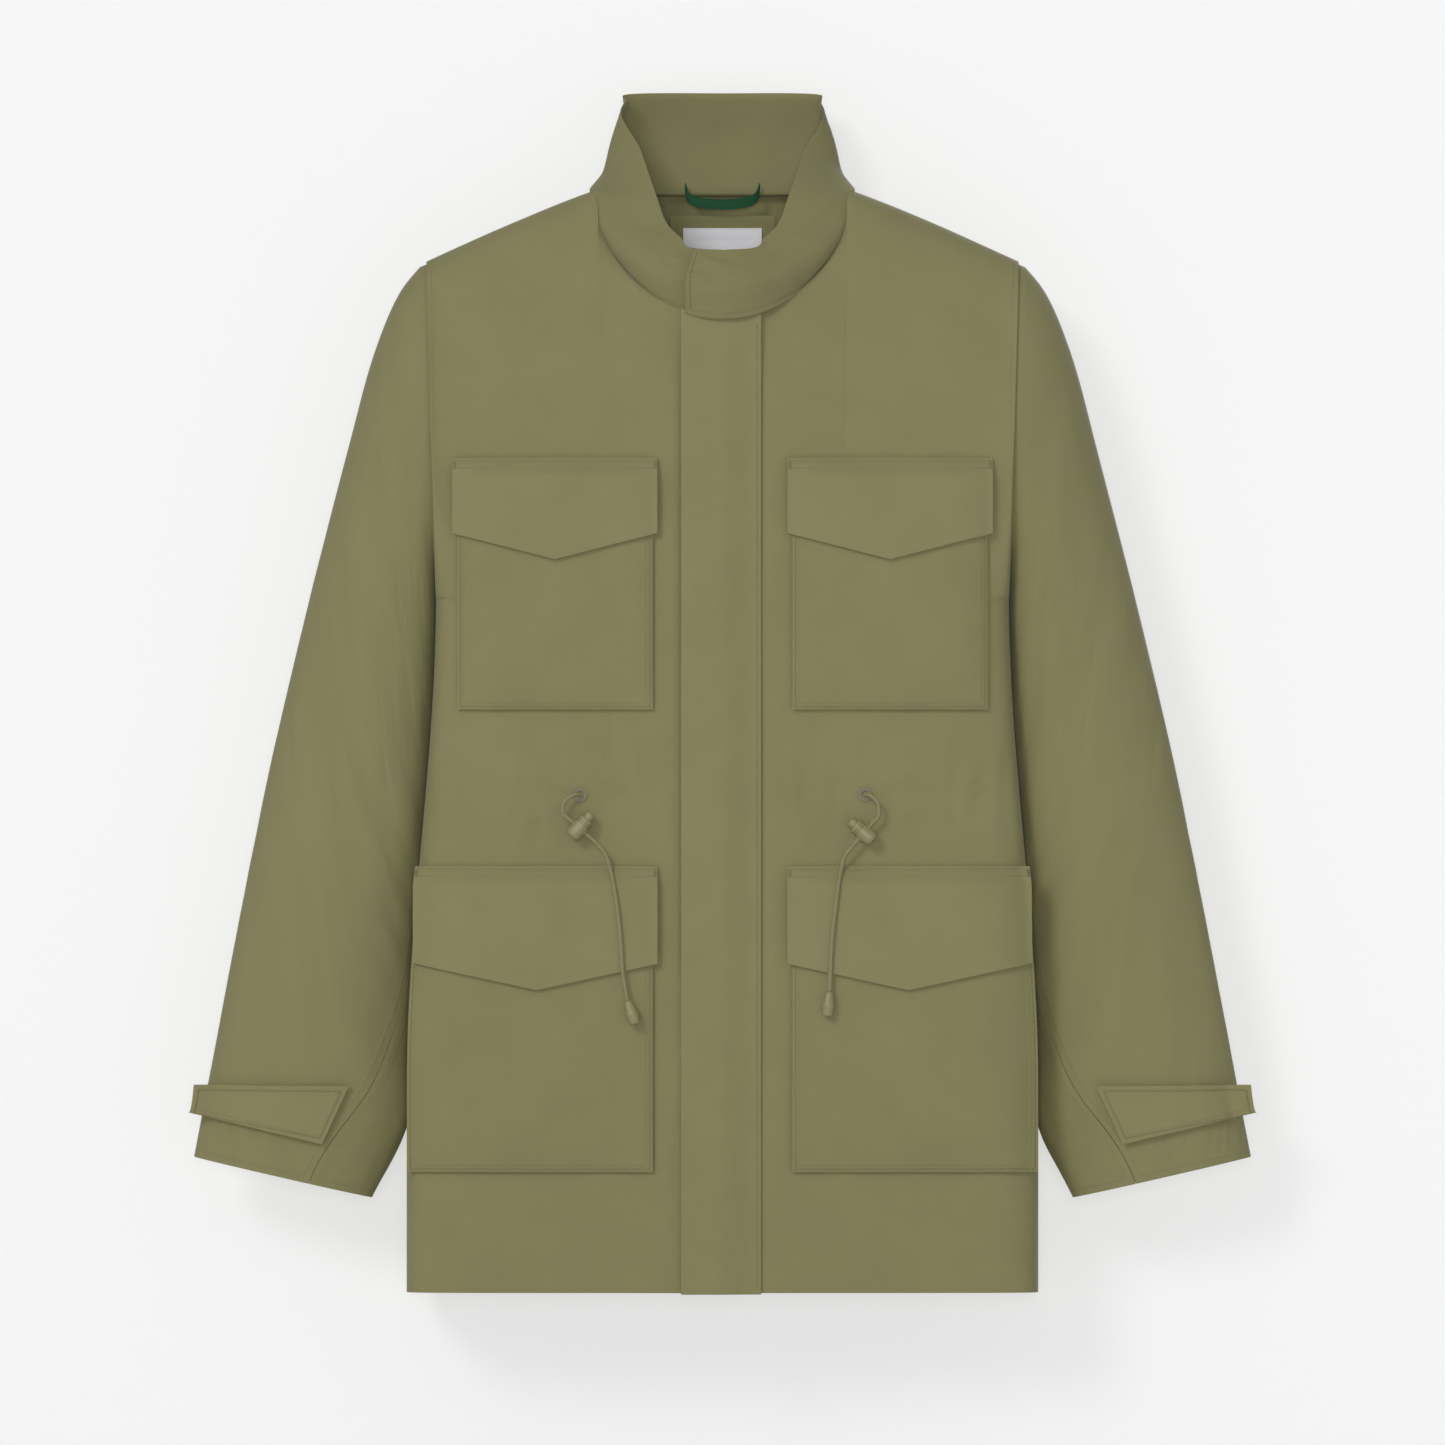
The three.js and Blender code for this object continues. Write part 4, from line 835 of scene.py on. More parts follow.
@dataclass
class Panel:
    """A piece of cloth cut to shape, laid on a surface and given its thickness inwards.

    Attributes:
        name: The piece's name.
        surface: Its outer face over u and v, each from 0 to 1.
        columns: Cells across.
        rows: Cells up.
        heart: A place inside the jacket, away from which the cloth faces.
        finish: Its material.
        slot: Its material slot; not used.
        nodes: The frame pieces that it stands for.
        outer: How far its outer face stands off the surface.
        thickness: The cloth's thickness.
        lift: Drape, added to outer at each place.
        crease: How sharply the cloth is creased at each place.
        sewn: The edges that carry a seam.
        held: How the cloth is held; not used.
        soft_edge: The radius of its folded edges.
    """

    name: str
    surface: Surface
    columns: int
    rows: int
    heart: Vector
    finish: bpy.types.Material
    slot: str
    nodes: tuple[str, ...] = ()
    outer: float = 0.0
    thickness: float = 1.6
    lift: Field | None = None
    crease: Field = lambda point: 0.08
    sewn: tuple[Sewn, ...] = tuple(Sewn)
    held: str = "hung"
    soft_edge: float = 0.45
    far: float = 60.0  # the longest distance to a sewn edge that is kept
    sheet_least: float = 0.01  # metres; not used

    def grid(self) -> tuple[list[list[Vector]], list[list[Vector]], bool]:
        """Lays the surface out.

        Returns:
            Rows of places, rows of outward normals, and whether the surface runs inside out.
        """
        c, r = self.columns, self.rows
        places = [[self.surface(i / c, j / r) for i in range(c + 1)] for j in range(r + 1)]
        normals = []
        for j in range(r + 1):
            row = []
            for i in range(c + 1):
                across = places[j][min(c, i + 1)] - places[j][max(0, i - 1)]
                up = places[min(r, j + 1)][i] - places[max(0, j - 1)][i]
                row.append(across.cross(up).normalized())
            normals.append(row)
        inside_out = (places[r // 2][c // 2] - self.heart).dot(normals[r // 2][c // 2]) < 0
        if inside_out:
            normals = [[-n for n in row] for row in normals]
        return places, normals, inside_out

    def runs(self, places: list[list[Vector]]) -> tuple[list[list[float]], list[list[float]]]:
        """Measures the cloth.

        Args:
            places: Rows of places.

        Returns:
            The run along each row from its left end, and up each column from its foot.
        """
        c, r = self.columns, self.rows
        wide = [[0.0] * (c + 1) for _ in range(r + 1)]
        tall = [[0.0] * (c + 1) for _ in range(r + 1)]
        for j in range(r + 1):
            for i in range(c + 1):
                if i:
                    wide[j][i] = wide[j][i - 1] + (places[j][i] - places[j][i - 1]).length
                if j:
                    tall[j][i] = tall[j - 1][i] + (places[j][i] - places[j - 1][i]).length
        return wide, tall

    def finish_edges(self, obj: bpy.types.Object) -> None:
        """Gives the cloth its thickness and rounds its cut edges.

        Args:
            obj: The piece.
        """
        slab = obj.modifiers.new("cloth", "SOLIDIFY")
        slab.thickness = self.thickness / 1000
        slab.offset = -1.0
        if self.soft_edge:
            turn = obj.modifiers.new("folded_edge", "BEVEL")
            turn.width = self.soft_edge / 1000
            turn.segments = 2
            turn.limit_method = "ANGLE"
            turn.angle_limit = math.radians(50)
            turn.harden_normals = True

    def make(self) -> bpy.types.Object:
        """Builds the piece.

        Returns:
            The finished object, with its map, its seam distances and its thickness.
        """
        places, normals, inside_out = self.grid()
        wide, tall = self.runs(places)
        c, r = self.columns, self.rows
        bm = bmesh.new()
        bmesh.ops.create_grid(bm, x_segments=c, y_segments=r, size=0.5)
        uv = bm.loops.layers.uv.new("UVMap")
        seam = bm.verts.layers.float.new("seam")
        crease = bm.verts.layers.float.new("crease")
        for vert in bm.verts:
            i, j = round((vert.co.x + 0.5) * c), round((vert.co.y + 0.5) * r)
            reach = {
                Sewn.L: wide[j][i],
                Sewn.R: wide[j][c] - wide[j][i],
                Sewn.B: tall[j][i],
                Sewn.T: tall[r][i] - tall[j][i],
            }
            vert[seam] = min([self.far, *(reach[edge] for edge in self.sewn)])
            vert[crease] = self.crease(places[j][i])
            for loop in vert.link_loops:
                loop[uv].uv = (wide[j][i] / 1000, tall[j][i] / 1000)
            off = self.outer + (self.lift(places[j][i]) if self.lift else 0.0)
            vert.co = metres(places[j][i] + normals[j][i] * off)
        if inside_out:
            bmesh.ops.reverse_faces(bm, faces=bm.faces[:])
        area = sum(face.calc_area() for face in bm.faces)
        obj = finished(self.name, bm, self.finish)
        self.finish_edges(obj)
        if self.nodes:
            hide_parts(*self.nodes)
        return obj


def finished(name: str, bm: bmesh.types.BMesh, material: bpy.types.Material, sharp: float = 40.0) -> bpy.types.Object:
    """Turns a bmesh into a smooth-shaded object at the origin.

    Args:
        name: The piece's name.
        bm: Its mesh, in metres in the jacket's frame; it is freed.
        material: Its finish.
        sharp: Edges that turn by more degrees than this stay sharp.

    Returns:
        The object, linked to the scene.
    """
    mesh = bpy.data.meshes.new(name)
    bm.to_mesh(mesh)
    bm.free()
    mesh.materials.append(material)
    mesh.shade_smooth()
    mesh.set_sharp_from_angle(angle=math.radians(sharp))
    obj = bpy.data.objects.new(name, mesh)
    bpy.context.scene.collection.objects.link(obj)
    return obj


class Stitching:
    """Rows of lockstitch that lie on the cloth, gathered into one piece."""

    THREAD_WIDTH = 0.6
    THREAD_HEIGHT = 0.45
    PROUD = 0.12
    SHORTEST = 0.3

    def __init__(self, name: str, material: bpy.types.Material, slot: str) -> None:
        """Starts an empty set of rows.

        Args:
            name: The piece's name.
            material: The thread.
            slot: The material slot of the cloth that it sews; not used.
        """
        self.name = name
        self.material = material
        self.slot = slot
        self.bm = bmesh.new()

    def row(self, place: Callable[[float], tuple[Vector, Vector]], length: float, pitch: float = 3.4) -> None:
        """Lays one row.

        Args:
            place: A share along the row to its place and outward normal, in millimetres.
            length: The row's rough length in millimetres.
            pitch: Stitch spacing.
        """
        count = max(1, round(length / pitch))
        for i in range(count):
            a, _ = place((i + 0.14) / count)
            b, _ = place((i + 0.86) / count)
            middle, normal = place((i + 0.5) / count)
            run = b - a
            if run.length < self.SHORTEST:
                continue
            run_unit = run.normalized()
            side = normal.cross(run_unit).normalized()
            top = run_unit.cross(side)
            turn = Matrix((run_unit, side, top)).transposed().to_4x4()
            size = Matrix.Diagonal((run.length, self.THREAD_WIDTH, self.THREAD_HEIGHT, 1.0))
            at = metres(middle + normal * self.PROUD)
            bmesh.ops.create_cube(
                self.bm, size=1.0, matrix=Matrix.Translation(at) @ Matrix.Scale(0.001, 4) @ turn @ size
            )

    def make(self) -> bpy.types.Object:
        """Builds the object.

        Returns:
            The finished rows.
        """
        obj = finished(self.name, self.bm, self.material)
        return obj


# ---- Shell and lining -------------------------------------------------------------------------


@dataclass
class Shell:
    """The two fronts, the back and the two-piece sleeves."""

    front_columns: int = 64
    back_columns: int = 110
    body_rows: int = 150
    sleeve_rows: int = 130
    seam_gap: float = 0.002  # radians left at each side of a sleeve seam

    def build(self, wardrobe: Wardrobe) -> None:
        """Makes the shell's panels.

        Args:
            wardrobe: The finishes.
        """
        for side in Side:
            word = side.word
            front = Panel(
                f"front_panel_{word}", BODY.front(side), self.front_columns, self.body_rows, BODY_HEART,
                wardrobe.shell, "shell", (f"front_{word}",), lift=lambda p: BODY.drape(p.x, p.z),
                crease=BODY.crease, sewn=(Sewn.T, Sewn.L if side is Side.RIGHT else Sewn.R),
            ).make()
            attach(front, "jacket")
            self.sleeve(side, wardrobe)
        back = Panel(
            "back_of_shell", BODY.back, self.back_columns, self.body_rows, BODY_HEART, wardrobe.shell, "shell",
            ("back_panel",), lift=lambda p: BODY.drape(p.x, p.z, 1), sewn=(Sewn.T, Sewn.L, Sewn.R),
        ).make()
        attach(back, "jacket")
        LOG.info("shell made")

    def sleeve(self, side: Side, wardrobe: Wardrobe) -> None:
        """Makes one sleeve: the upper and the under piece meet at the front and back seams.

        Args:
            side: The wearer's side.
            wardrobe: The finishes.
        """
        heart = (SLEEVE.point(side, 0, 0.5) + SLEEVE.point(side, math.pi, 0.5)) / 2
        start = SLEEVE.under_turn

        def draped(low: Callable[[float], float], high: Callable[[float], float]) -> Surface:
            """The draped cloth between two seams.

            Args:
                low: The first seam's turn at a share along the sleeve.
                high: The second seam's.

            Returns:
                The cloth's surface.
            """

            def place(u: float, v: float) -> Vector:
                """A place on the cloth.

                Args:
                    u: Share of the way from the low seam to the high one.
                    v: Share along the sleeve.

                Returns:
                    The place.
                """
                point = SLEEVE.tucked(side, lerp(low(v) + self.seam_gap, high(v) - self.seam_gap, u), v)
                turn = lerp(low(v), high(v), u)
                middle = (SLEEVE.point(side, 0, v) + SLEEVE.point(side, math.pi, v)) / 2
                out = Vector((point.x - middle.x, (point.y - middle.y) * 2.0, (point.z - middle.z) * 0.4))
                swing = SLEEVE.drape(side, math.remainder(turn, 2 * math.pi), v)
                return point + out.normalized() * swing * abs(math.sin(turn)) ** 0.5

            return place

        pieces = (
            ("upper", draped(lambda v: start, SLEEVE.seam_turn), 56),
            ("under", draped(SLEEVE.seam_turn, lambda v: 2 * math.pi + start), 26),
        )
        for part, surface, columns in pieces:
            piece = Panel(
                f"sleeve_{part}_cloth_{side.word}", surface, columns, self.sleeve_rows, heart, wardrobe.shell,
                "shell", (f"sleeve_{part}_{side.word}",), sewn=(Sewn.L, Sewn.R, Sewn.T), crease=sleeve_crease,
            ).make()
            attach(piece, "jacket")


@dataclass
class Lining:
    """The taffeta lining of the body and the sleeves."""

    inset: float = 9.8
    sleeve_inset: float = 5.6
    cloth: float = 1.0

    def inside(self, surface: Surface) -> Surface:
        """The body's surface, drawn in by the inset.

        Args:
            surface: A panel of the body.

        Returns:
            The lining's surface behind it.
        """

        def place(u: float, v: float) -> Vector:
            """A place on the lining, which stops short of the panel's edges.

            Args:
                u: Share across.
                v: Share up.

            Returns:
                The place.
            """
            point = surface(lerp(0.02, 0.98, u), lerp(0.02, 0.92, v))
            point.x *= 1 - self.inset / CHEST_HALF
            point.y *= 1 - self.inset / (HALF_DEPTH - 0.3)
            point.z -= self.inset * ease(point.z, UNDERARM, LENGTH)
            return point

        return place

    def build(self, wardrobe: Wardrobe) -> None:
        """Makes the lining's panels.

        Args:
            wardrobe: The finishes.
        """
        rumple: Field = lambda p: 0.9 * ripple(p.x / 17, p.z / 21, p.y / 60) + 0.5 * ripple(p.x / 7, p.z / 9, 3)
        for side in Side:
            panel = Panel(
                f"lining_front_cloth_{side.word}", self.inside(BODY.front(side)), 40, 90, BODY_HEART, wardrobe.lining,
                "lining", (f"lining_front_{side.word}",), thickness=self.cloth, lift=rumple, soft_edge=0,
            ).make()
            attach(panel, "jacket")
            self.sleeve(side, wardrobe)
        back = Panel(
            "lining_back_cloth", self.inside(BODY.back), 120, 130, BODY_HEART, wardrobe.lining, "lining",
            ("lining_back",), thickness=self.cloth, lift=rumple, soft_edge=0,
        ).make()
        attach(back, "jacket")
        LOG.info("lining made")

    def sleeve(self, side: Side, wardrobe: Wardrobe) -> None:
        """Makes one sleeve's lining tube, closed along its seam.

        Args:
            side: The wearer's side.
            wardrobe: The finishes.
        """
        heart = (SLEEVE.point(side, 0, 0.5) + SLEEVE.point(side, math.pi, 0.5)) / 2
        tube = Panel(
            f"lining_sleeve_cloth_{side.word}",
            lambda u, v: SLEEVE.point(side, 2 * math.pi * u, lerp(0.09, 0.965, v)),
            48, 70, heart, wardrobe.lining, "lining", (f"lining_sleeve_{side.word}",), outer=-self.sleeve_inset,
            thickness=self.cloth, soft_edge=0,
        ).make()
        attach(tube, "jacket")


# ---- Collar and neck --------------------------------------------------------------------------


@dataclass
class Collar:
    """The stand collar: one cloth folded over its top edge, lapping left over right."""

    height: float = 71.0
    bulge: float = 6.0
    side_bulge: float = 13.0
    gap: float = 0.2
    lap: float = 8.2
    plies: float = 5.4
    under_turn: float = 0.06

    def __post_init__(self) -> None:
        """Draws the top edge: shares of the neck's half-width and depth, and the dip below the top."""
        self.rim = Curve(
            [
                (0, -0.93, NECK_DROP + 23), (0.2, -0.9, NECK_DROP + 22), (0.33, -0.82, NECK_DROP + 14),
                (0.44, -0.68, 97), (0.53, -0.48, 76), (0.65, -0.05, 44),
                (0.775, 0.4, 7), (0.5, 0.86, 0), (0, 0.95, 0),
            ]
        )
        self.lap_turn = math.asin(-FLY_EDGE * 0.9 / NECK_HALF)

    def point(self, turn: float, rise: float) -> Vector:
        """A place on the outer face: turn is 0 at the front centre, rise 0 at the neck seam.

        Args:
            turn: Radians round the neck, 0 at the front centre.
            rise: 0 at the neck seam, 1 at the top edge.

        Returns:
            The place on the plain form.
        """
        face = -1 if math.cos(turn) > 0 else 1
        depth = FRONT_FACE - 0.4 if face < 0 else NECK_BACK
        arch = abs(math.cos(turn))
        foot = Vector(
            (
                (NECK_HALF - self.gap) * math.sin(turn),
                face * (depth - self.gap) * arch,
                LENGTH + self.gap - (NECK_DROP * arch if face < 0 else 0),
            )
        )
        shape = self.rim.point(math.acos(math.cos(turn)) / math.pi)
        top = Vector(
            (
                math.copysign(1, math.sin(turn)) * shape.x * NECK_HALF,
                shape.y * (HALF_DEPTH if shape.y < 0 else NECK_BACK),
                LENGTH + self.height - shape.z,
            )
        )
        swell = self.bulge * math.sin(math.pi * max(0.0, rise) ** 1.1) ** 1.2
        swell += self.side_bulge * math.sin(turn) ** 2 * math.sin(math.pi * max(0.0, rise) ** 0.65)
        return foot.lerp(top, rise) + Vector((math.sin(turn) * swell, -math.cos(turn) * swell, 0))

    def turn_at(self, u: float, rise: float) -> float:
        """The turn at a share of the collar's length; its lapping end stands upright."""
        return lerp(self.under_turn, -2 * math.pi - lerp(self.lap_turn, 0.42, max(0.0, rise)), u)

    def outside(self, u: float, rise: float) -> Vector:
        """The outer ply, with the lapping end brought forward.

        Args:
            u: Share of the collar's length.
            rise: 0 at the neck seam, 1 at the top edge.

        Returns:
            The place on the cloth.
        """
        turn = self.turn_at(u, rise)
        lap = self.lap * ease(-turn, 2 * math.pi - 0.9, 2 * math.pi - 0.12)
        place = self.point(turn, rise) + Vector((0, -lap, 0))
        front = ease(math.cos(turn), 0.3, 0.95)
        crumple = front * hump(rise, 0.66, 0.2) * 2.4 * ripple(turn * 3, rise * 8, 2)
        soft = 1.3 * ripple(turn * 1.6, rise * 1.5, 6) * math.sin(math.pi * rise)
        return place + Vector((math.sin(turn), -math.cos(turn), 0)) * (crumple + soft)

    def folded(self, u: float, v: float) -> Vector:
        """Up the outer ply, over the top edge and down the inner ply.

        Args:
            u: Share of the collar's length.
            v: 0 at the outer ply's foot, 1 at the inner ply's.

        Returns:
            The place on the cloth.
        """
        rise = lerp(-0.05, 1, 1 - abs(2 * v - 1))
        place = self.outside(u, rise)
        if v <= 0.5:
            return place
        turn = self.turn_at(u, rise)
        ends = ease(min(u, 1 - u), 0.0, 0.012)
        thick = (1.0 + (self.plies - 1.0) * (1 - max(0.0, rise)) ** 2) * ends
        return place - Vector((math.sin(turn), -math.cos(turn), 0)) * thick * ease(v, 0.5, 0.52)

    def build(self, wardrobe: Wardrobe) -> None:
        """Makes the collar and its stitching.

        Args:
            wardrobe: The finishes.
        """
        heart = Vector((0, 0, LENGTH - 200))
        collar = Panel(
            "stand_collar", self.folded, 170, 56, heart, wardrobe.collar, "collar",
            ("collar_outer", "collar_inner"), thickness=0.5, sewn=(Sewn.B, Sewn.T), held="folded", soft_edge=0,
            crease=lambda p: 0.05 + 0.55 * hump(p.x, 8, 42) * ease(-p.y, 20, 50) * hump(p.z, 738, 16),
        ).make()
        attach(collar, "jacket")
        rows = Stitching("collar_stitching", wardrobe.thread, "collar")

        def at(u: float, rise: float) -> tuple[Vector, Vector]:
            """A place on the outer ply and its outward normal."""
            turn = self.turn_at(u, rise)
            return self.outside(u, rise), Vector((math.sin(turn), -math.cos(turn), 0))

        rows.row(lambda s: at(0.9925, lerp(0.05, 0.95, s)), 40)
        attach(rows.make(), "jacket")
        LOG.info("collar made")


@dataclass
class NeckTrim:
    """The facing patch, the blank label and the hang loop inside the back neck."""

    facing_width: float = 76.0
    facing_height: float = 64.0
    top: float = LENGTH - 18.0
    inside: float = 14.2  # the facing's depth behind the back's outer face
    label_width: float = 57.0
    label_height: float = 30.0
    label_drop: float = 9.0
    loop_width: float = 54.0
    loop_depth: float = 33.5
    slack: float = 5.5

    def patch(self, name: str, width: float, top: float, height: float, inner: float, node: str,
              finish: bpy.types.Material, slot: str) -> None:
        """Makes one flat patch on the back's inside.

        Args:
            name: The piece's name.
            width: Its width.
            top: Its top edge's height above the hem.
            height: Its height.
            inner: How far it lies inside the back's outer face.
            node: The frame piece that it stands for.
            finish: Its material.
            slot: Its material slot.
        """

        def place(u: float, v: float) -> Vector:
            """A place on the patch.

            Args:
                u: Share across.
                v: Share up.

            Returns:
                The place.
            """
            x = lerp(-width / 2, width / 2, u)
            point = BODY.over(1, x, top - height * (1 - v))
            return point + Vector((0, -inner, 0))

        heart = Vector((0, 200, top))
        obj = Panel(
            name, place, 30, 22, heart, finish, slot, (node,), thickness=0.8, held="laid", soft_edge=0.25
        ).make()
        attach(obj, "jacket")

    def build(self, wardrobe: Wardrobe) -> None:
        """Makes the three pieces.

        Args:
            wardrobe: The finishes.
        """
        self.patch(
            "neck_facing_cloth", self.facing_width, self.top, self.facing_height, self.inside, "neck_facing",
            wardrobe.shell, "shell",
        )
        self.patch(
            "blank_label", self.label_width, self.top - self.label_drop, self.label_height, self.inside + 1.2,
            "neck_label", wardrobe.label, "label",
        )
        y, half = self.loop_depth, self.loop_width / 2
        line = Curve(
            [
                (-half, y, LENGTH + 2), (-half + 4, y - 3.5, LENGTH - 6), (0, y - self.slack, LENGTH - 10),
                (half - 4, y - 3.5, LENGTH - 6), (half, y, LENGTH + 2),
            ]
        )
        loop = Panel(
            "hang_loop_tape",
            lambda u, v: line.along(u) + Vector((0, 0, lerp(-3.8, 3.8, v))),
            60, 4, Vector((0, 300, LENGTH)), wardrobe.loop, "hang_loop", ("hang_loop",), outer=0.5, thickness=1.0,
            held="", soft_edge=0.2,
        ).make()
        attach(loop, "jacket")
        LOG.info("neck trim made")


# ---- Pockets ----------------------------------------------------------------------------------


@dataclass
class Pocket:
    """A bellows pocket with a pointed flap."""

    kind: str
    side: Side
    bottom: float
    seam: float
    flap_length: float
    bellows: float = 8.8
    edge_rise: float = 3.2
    flap_point: float = 19.0
    inner: float = 50.0
    overhang: float = 3.5
    flap_cloth: float = 1.8
    ramp: float = 14.0  # below its seam the flap takes this far to clear the face
    hidden: float = 16.0  # the face starts this far below the flap's seam
    seam_in: float = 2.4  # the face's stitching, in from its edge

    def outer(self, z: float) -> float:
        """The pocket's outer edge at a height."""
        return 191.0 if self.kind == "chest" else BODY.half_width(z) - 1.5

    def pad(self, x: float, z: float, raise_by: float) -> tuple[Vector, Vector]:
        """A place raised off the front, and its outward normal; past the body's side it keeps straight on.

        Args:
            x: Distance from the centre, on either side.
            z: Height above the hem.
            raise_by: Millimetres off the front.

        Returns:
            The place and the unit normal.
        """
        held = min(x, BODY.half_width(min(z, UNDERARM)) * 0.972)
        place, normal = BODY.on_front(self.side.value * held, z)
        out = Vector((normal.x * 0.4, normal.y, normal.z)).normalized()
        return place + out * raise_by + Vector((self.side.value * (x - held), 0, 0)), out

    def plump(self, u: float, z: float) -> float:
        """How far the pocket's face stands off the front: low at its sewn edges, full in its middle.

        Args:
            u: 0 at the inner edge, 1 at the outer.
            z: Height above the hem.

        Returns:
            Millimetres off the front.
        """
        across = 1 - (1 - min(1.0, min(max(u, 0.0), max(1 - u, 0.0)) / 0.24)) ** 2
        up = 1 - (1 - min(1.0, max(0.0, z - self.bottom) / 44)) ** 2
        x = lerp(self.inner, self.outer(z), u)
        slump = 0.9 * ripple(x / 30 * self.side.value, z / 26, 8.0) * across
        return self.edge_rise + (self.bellows - self.edge_rise) * across * up + slump

    def face(self, u: float, v: float) -> Vector:
        """The pocket's face."""
        return self.on_face(u, v)[0]

    def on_face(self, u: float, v: float) -> tuple[Vector, Vector]:
        """A place on the face, and its outward normal."""
        z = lerp(self.bottom, self.seam - self.hidden, v)
        return self.pad(lerp(self.inner, self.outer(z), u), z, self.plump(u, z))

    def gusset(self, u: float, v: float) -> Vector:
        """The folded side strip: down the outer edge, along the bottom and up the inner edge.

        Args:
            u: Share of the way round.
            v: 0 on the front, 1 at the face.

        Returns:
            The place on the strip.
        """
        inset = 1.0 + 1.6 * (1 - abs(2 * v - 1))
        top = self.seam - 20
        low = self.bottom + inset
        sides = top - low
        wide = self.outer(low) - self.inner - 2 * inset
        run = u * (2 * sides + wide)
        if run < sides:
            z = top - run
            x = self.outer(z) - inset
        elif run < sides + wide:
            z = low
            x = self.outer(low) - inset - (run - sides)
        else:
            z = low + run - sides - wide
            x = self.inner + inset
        return self.pad(x, z, lerp(0.3, self.edge_rise - 0.4, v))[0]

    def flap_at(self, u: float, below: float, raise_by: float = 0.0) -> tuple[Vector, Vector]:
        """A place over the flap's underside, below its seam, and its outward normal.

        Args:
            u: 0 at the inner edge, 1 at the outer.
            below: Millimetres below the seam.
            raise_by: Millimetres off the underside.

        Returns:
            The place and the unit normal.
        """
        z = self.seam - below
        x = lerp(self.inner - self.overhang, self.outer(self.seam) + self.overhang, u)
        stand = self.plump(min(1.0, max(0.0, (x - self.inner) / (self.outer(z) - self.inner))), z) + 1.6
        lift = lerp(0.8, stand, ease(below, 0.0, self.ramp) * 0.35 + min(1.0, below / self.ramp) * 0.65)
        return self.pad(x, z, lift + raise_by)

    def drop(self, u: float) -> float:
        """How far the flap reaches below its seam."""
        tip = max(0.0, 1 - abs(2 * u - 1))
        return self.flap_length + self.flap_point * tip

    def build(self, wardrobe: Wardrobe) -> None:
        """Makes the pocket's face, gusset and flap.

        Args:
            wardrobe: The finishes.
        """
        word = self.side.word
        face = Panel(
            f"{self.kind}_pocket_face_{word}", self.face, 44, 52, BODY_HEART, wardrobe.shell, "shell",
            (f"{self.kind}_pocket_{word}",), thickness=1.2, sewn=(Sewn.L, Sewn.R, Sewn.B), held="laid", soft_edge=0.4,
            crease=lambda p: 0.08
            + 0.5 * hump(abs(p.x), self.inner + 6, 14)
            + 0.25 * hump(p.z, self.bottom + 20, 22),
        ).make()
        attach(face, "jacket")
        strip = Panel(
            f"{self.kind}_pocket_gusset_{word}", self.gusset, 120, 6,
            Vector((self.side.value * 120, -58, self.bottom + 80)), wardrobe.shell, "shell", thickness=0.8, sewn=(),
            held="", soft_edge=0,
        ).make()
        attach(strip, "jacket")
        self.make_flap(wardrobe)
        seams = Stitching(f"{self.kind}_pocket_stitching_{word}", wardrobe.thread, "shell")
        wide, tall = self.outer(self.bottom) - self.inner, self.seam - self.bottom
        edge, low = self.seam_in / wide, self.seam_in / (tall - self.hidden)
        for u in (edge, 1 - edge):
            seams.row(lambda s, u=u: self.on_face(u, lerp(low, 0.9, s)), tall * 0.8)
        seams.row(lambda s: self.on_face(lerp(edge, 1 - edge, s), low), wide)
        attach(seams.make(), "jacket")

    def make_flap(self, wardrobe: Wardrobe) -> None:
        """Makes the flap and its stitching: two rows along the seam and a tack at each end.

        Args:
            wardrobe: The finishes.
        """
        word = self.side.word
        body = f"{self.kind}_flap_{word}"
        flap = Panel(
            f"{self.kind}_flap_cloth_{word}", lambda u, v: self.flap_at(u, self.drop(u) * (1 - v))[0], 48, 36,
            BODY_HEART, wardrobe.flap, "flap", (body,),
            outer=self.flap_cloth, thickness=self.flap_cloth, sewn=(Sewn.T,), held="laid", soft_edge=0.5,
            crease=lambda p: 0.05 + 0.5 * hump(p.z, self.seam - 3, 8) * hump(abs(p.x), self.inner, 22),
        ).make()
        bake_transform(flap)
        rows = Stitching(f"{self.kind}_flap_stitching_{word}", wardrobe.thread, "flap")

        def on(u: float, below: float) -> tuple[Vector, Vector]:
            """A place on the flap's upper face, and its outward normal."""
            return self.flap_at(u, below, self.flap_cloth)

        wide = self.outer(self.seam) - self.inner + 2 * self.overhang
        for below in (1.6, 7.2):
            rows.row(lambda s, below=below: on(lerp(0.006, 0.994, s), below), wide)
        for tack in (0.012 + k * 0.0028 for k in range(-2, 3)):
            for u in (tack, 1 - tack):
                rows.row(lambda s, u=u: on(u, lerp(1.5, 8.5, s)), 6.0, pitch=6.0)
        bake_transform(rows.make())


def chest_pocket(side: Side) -> Pocket:
    """The chest pocket of a side."""
    return Pocket("chest", side, bottom=420.0, seam=601.0, flap_length=54.0)


def lower_pocket(side: Side) -> Pocket:
    """The lower pocket of a side."""
    return Pocket("lower", side, bottom=87.0, seam=307.0, flap_length=70.0)


# ---- Fly and zip ------------------------------------------------------------------------------


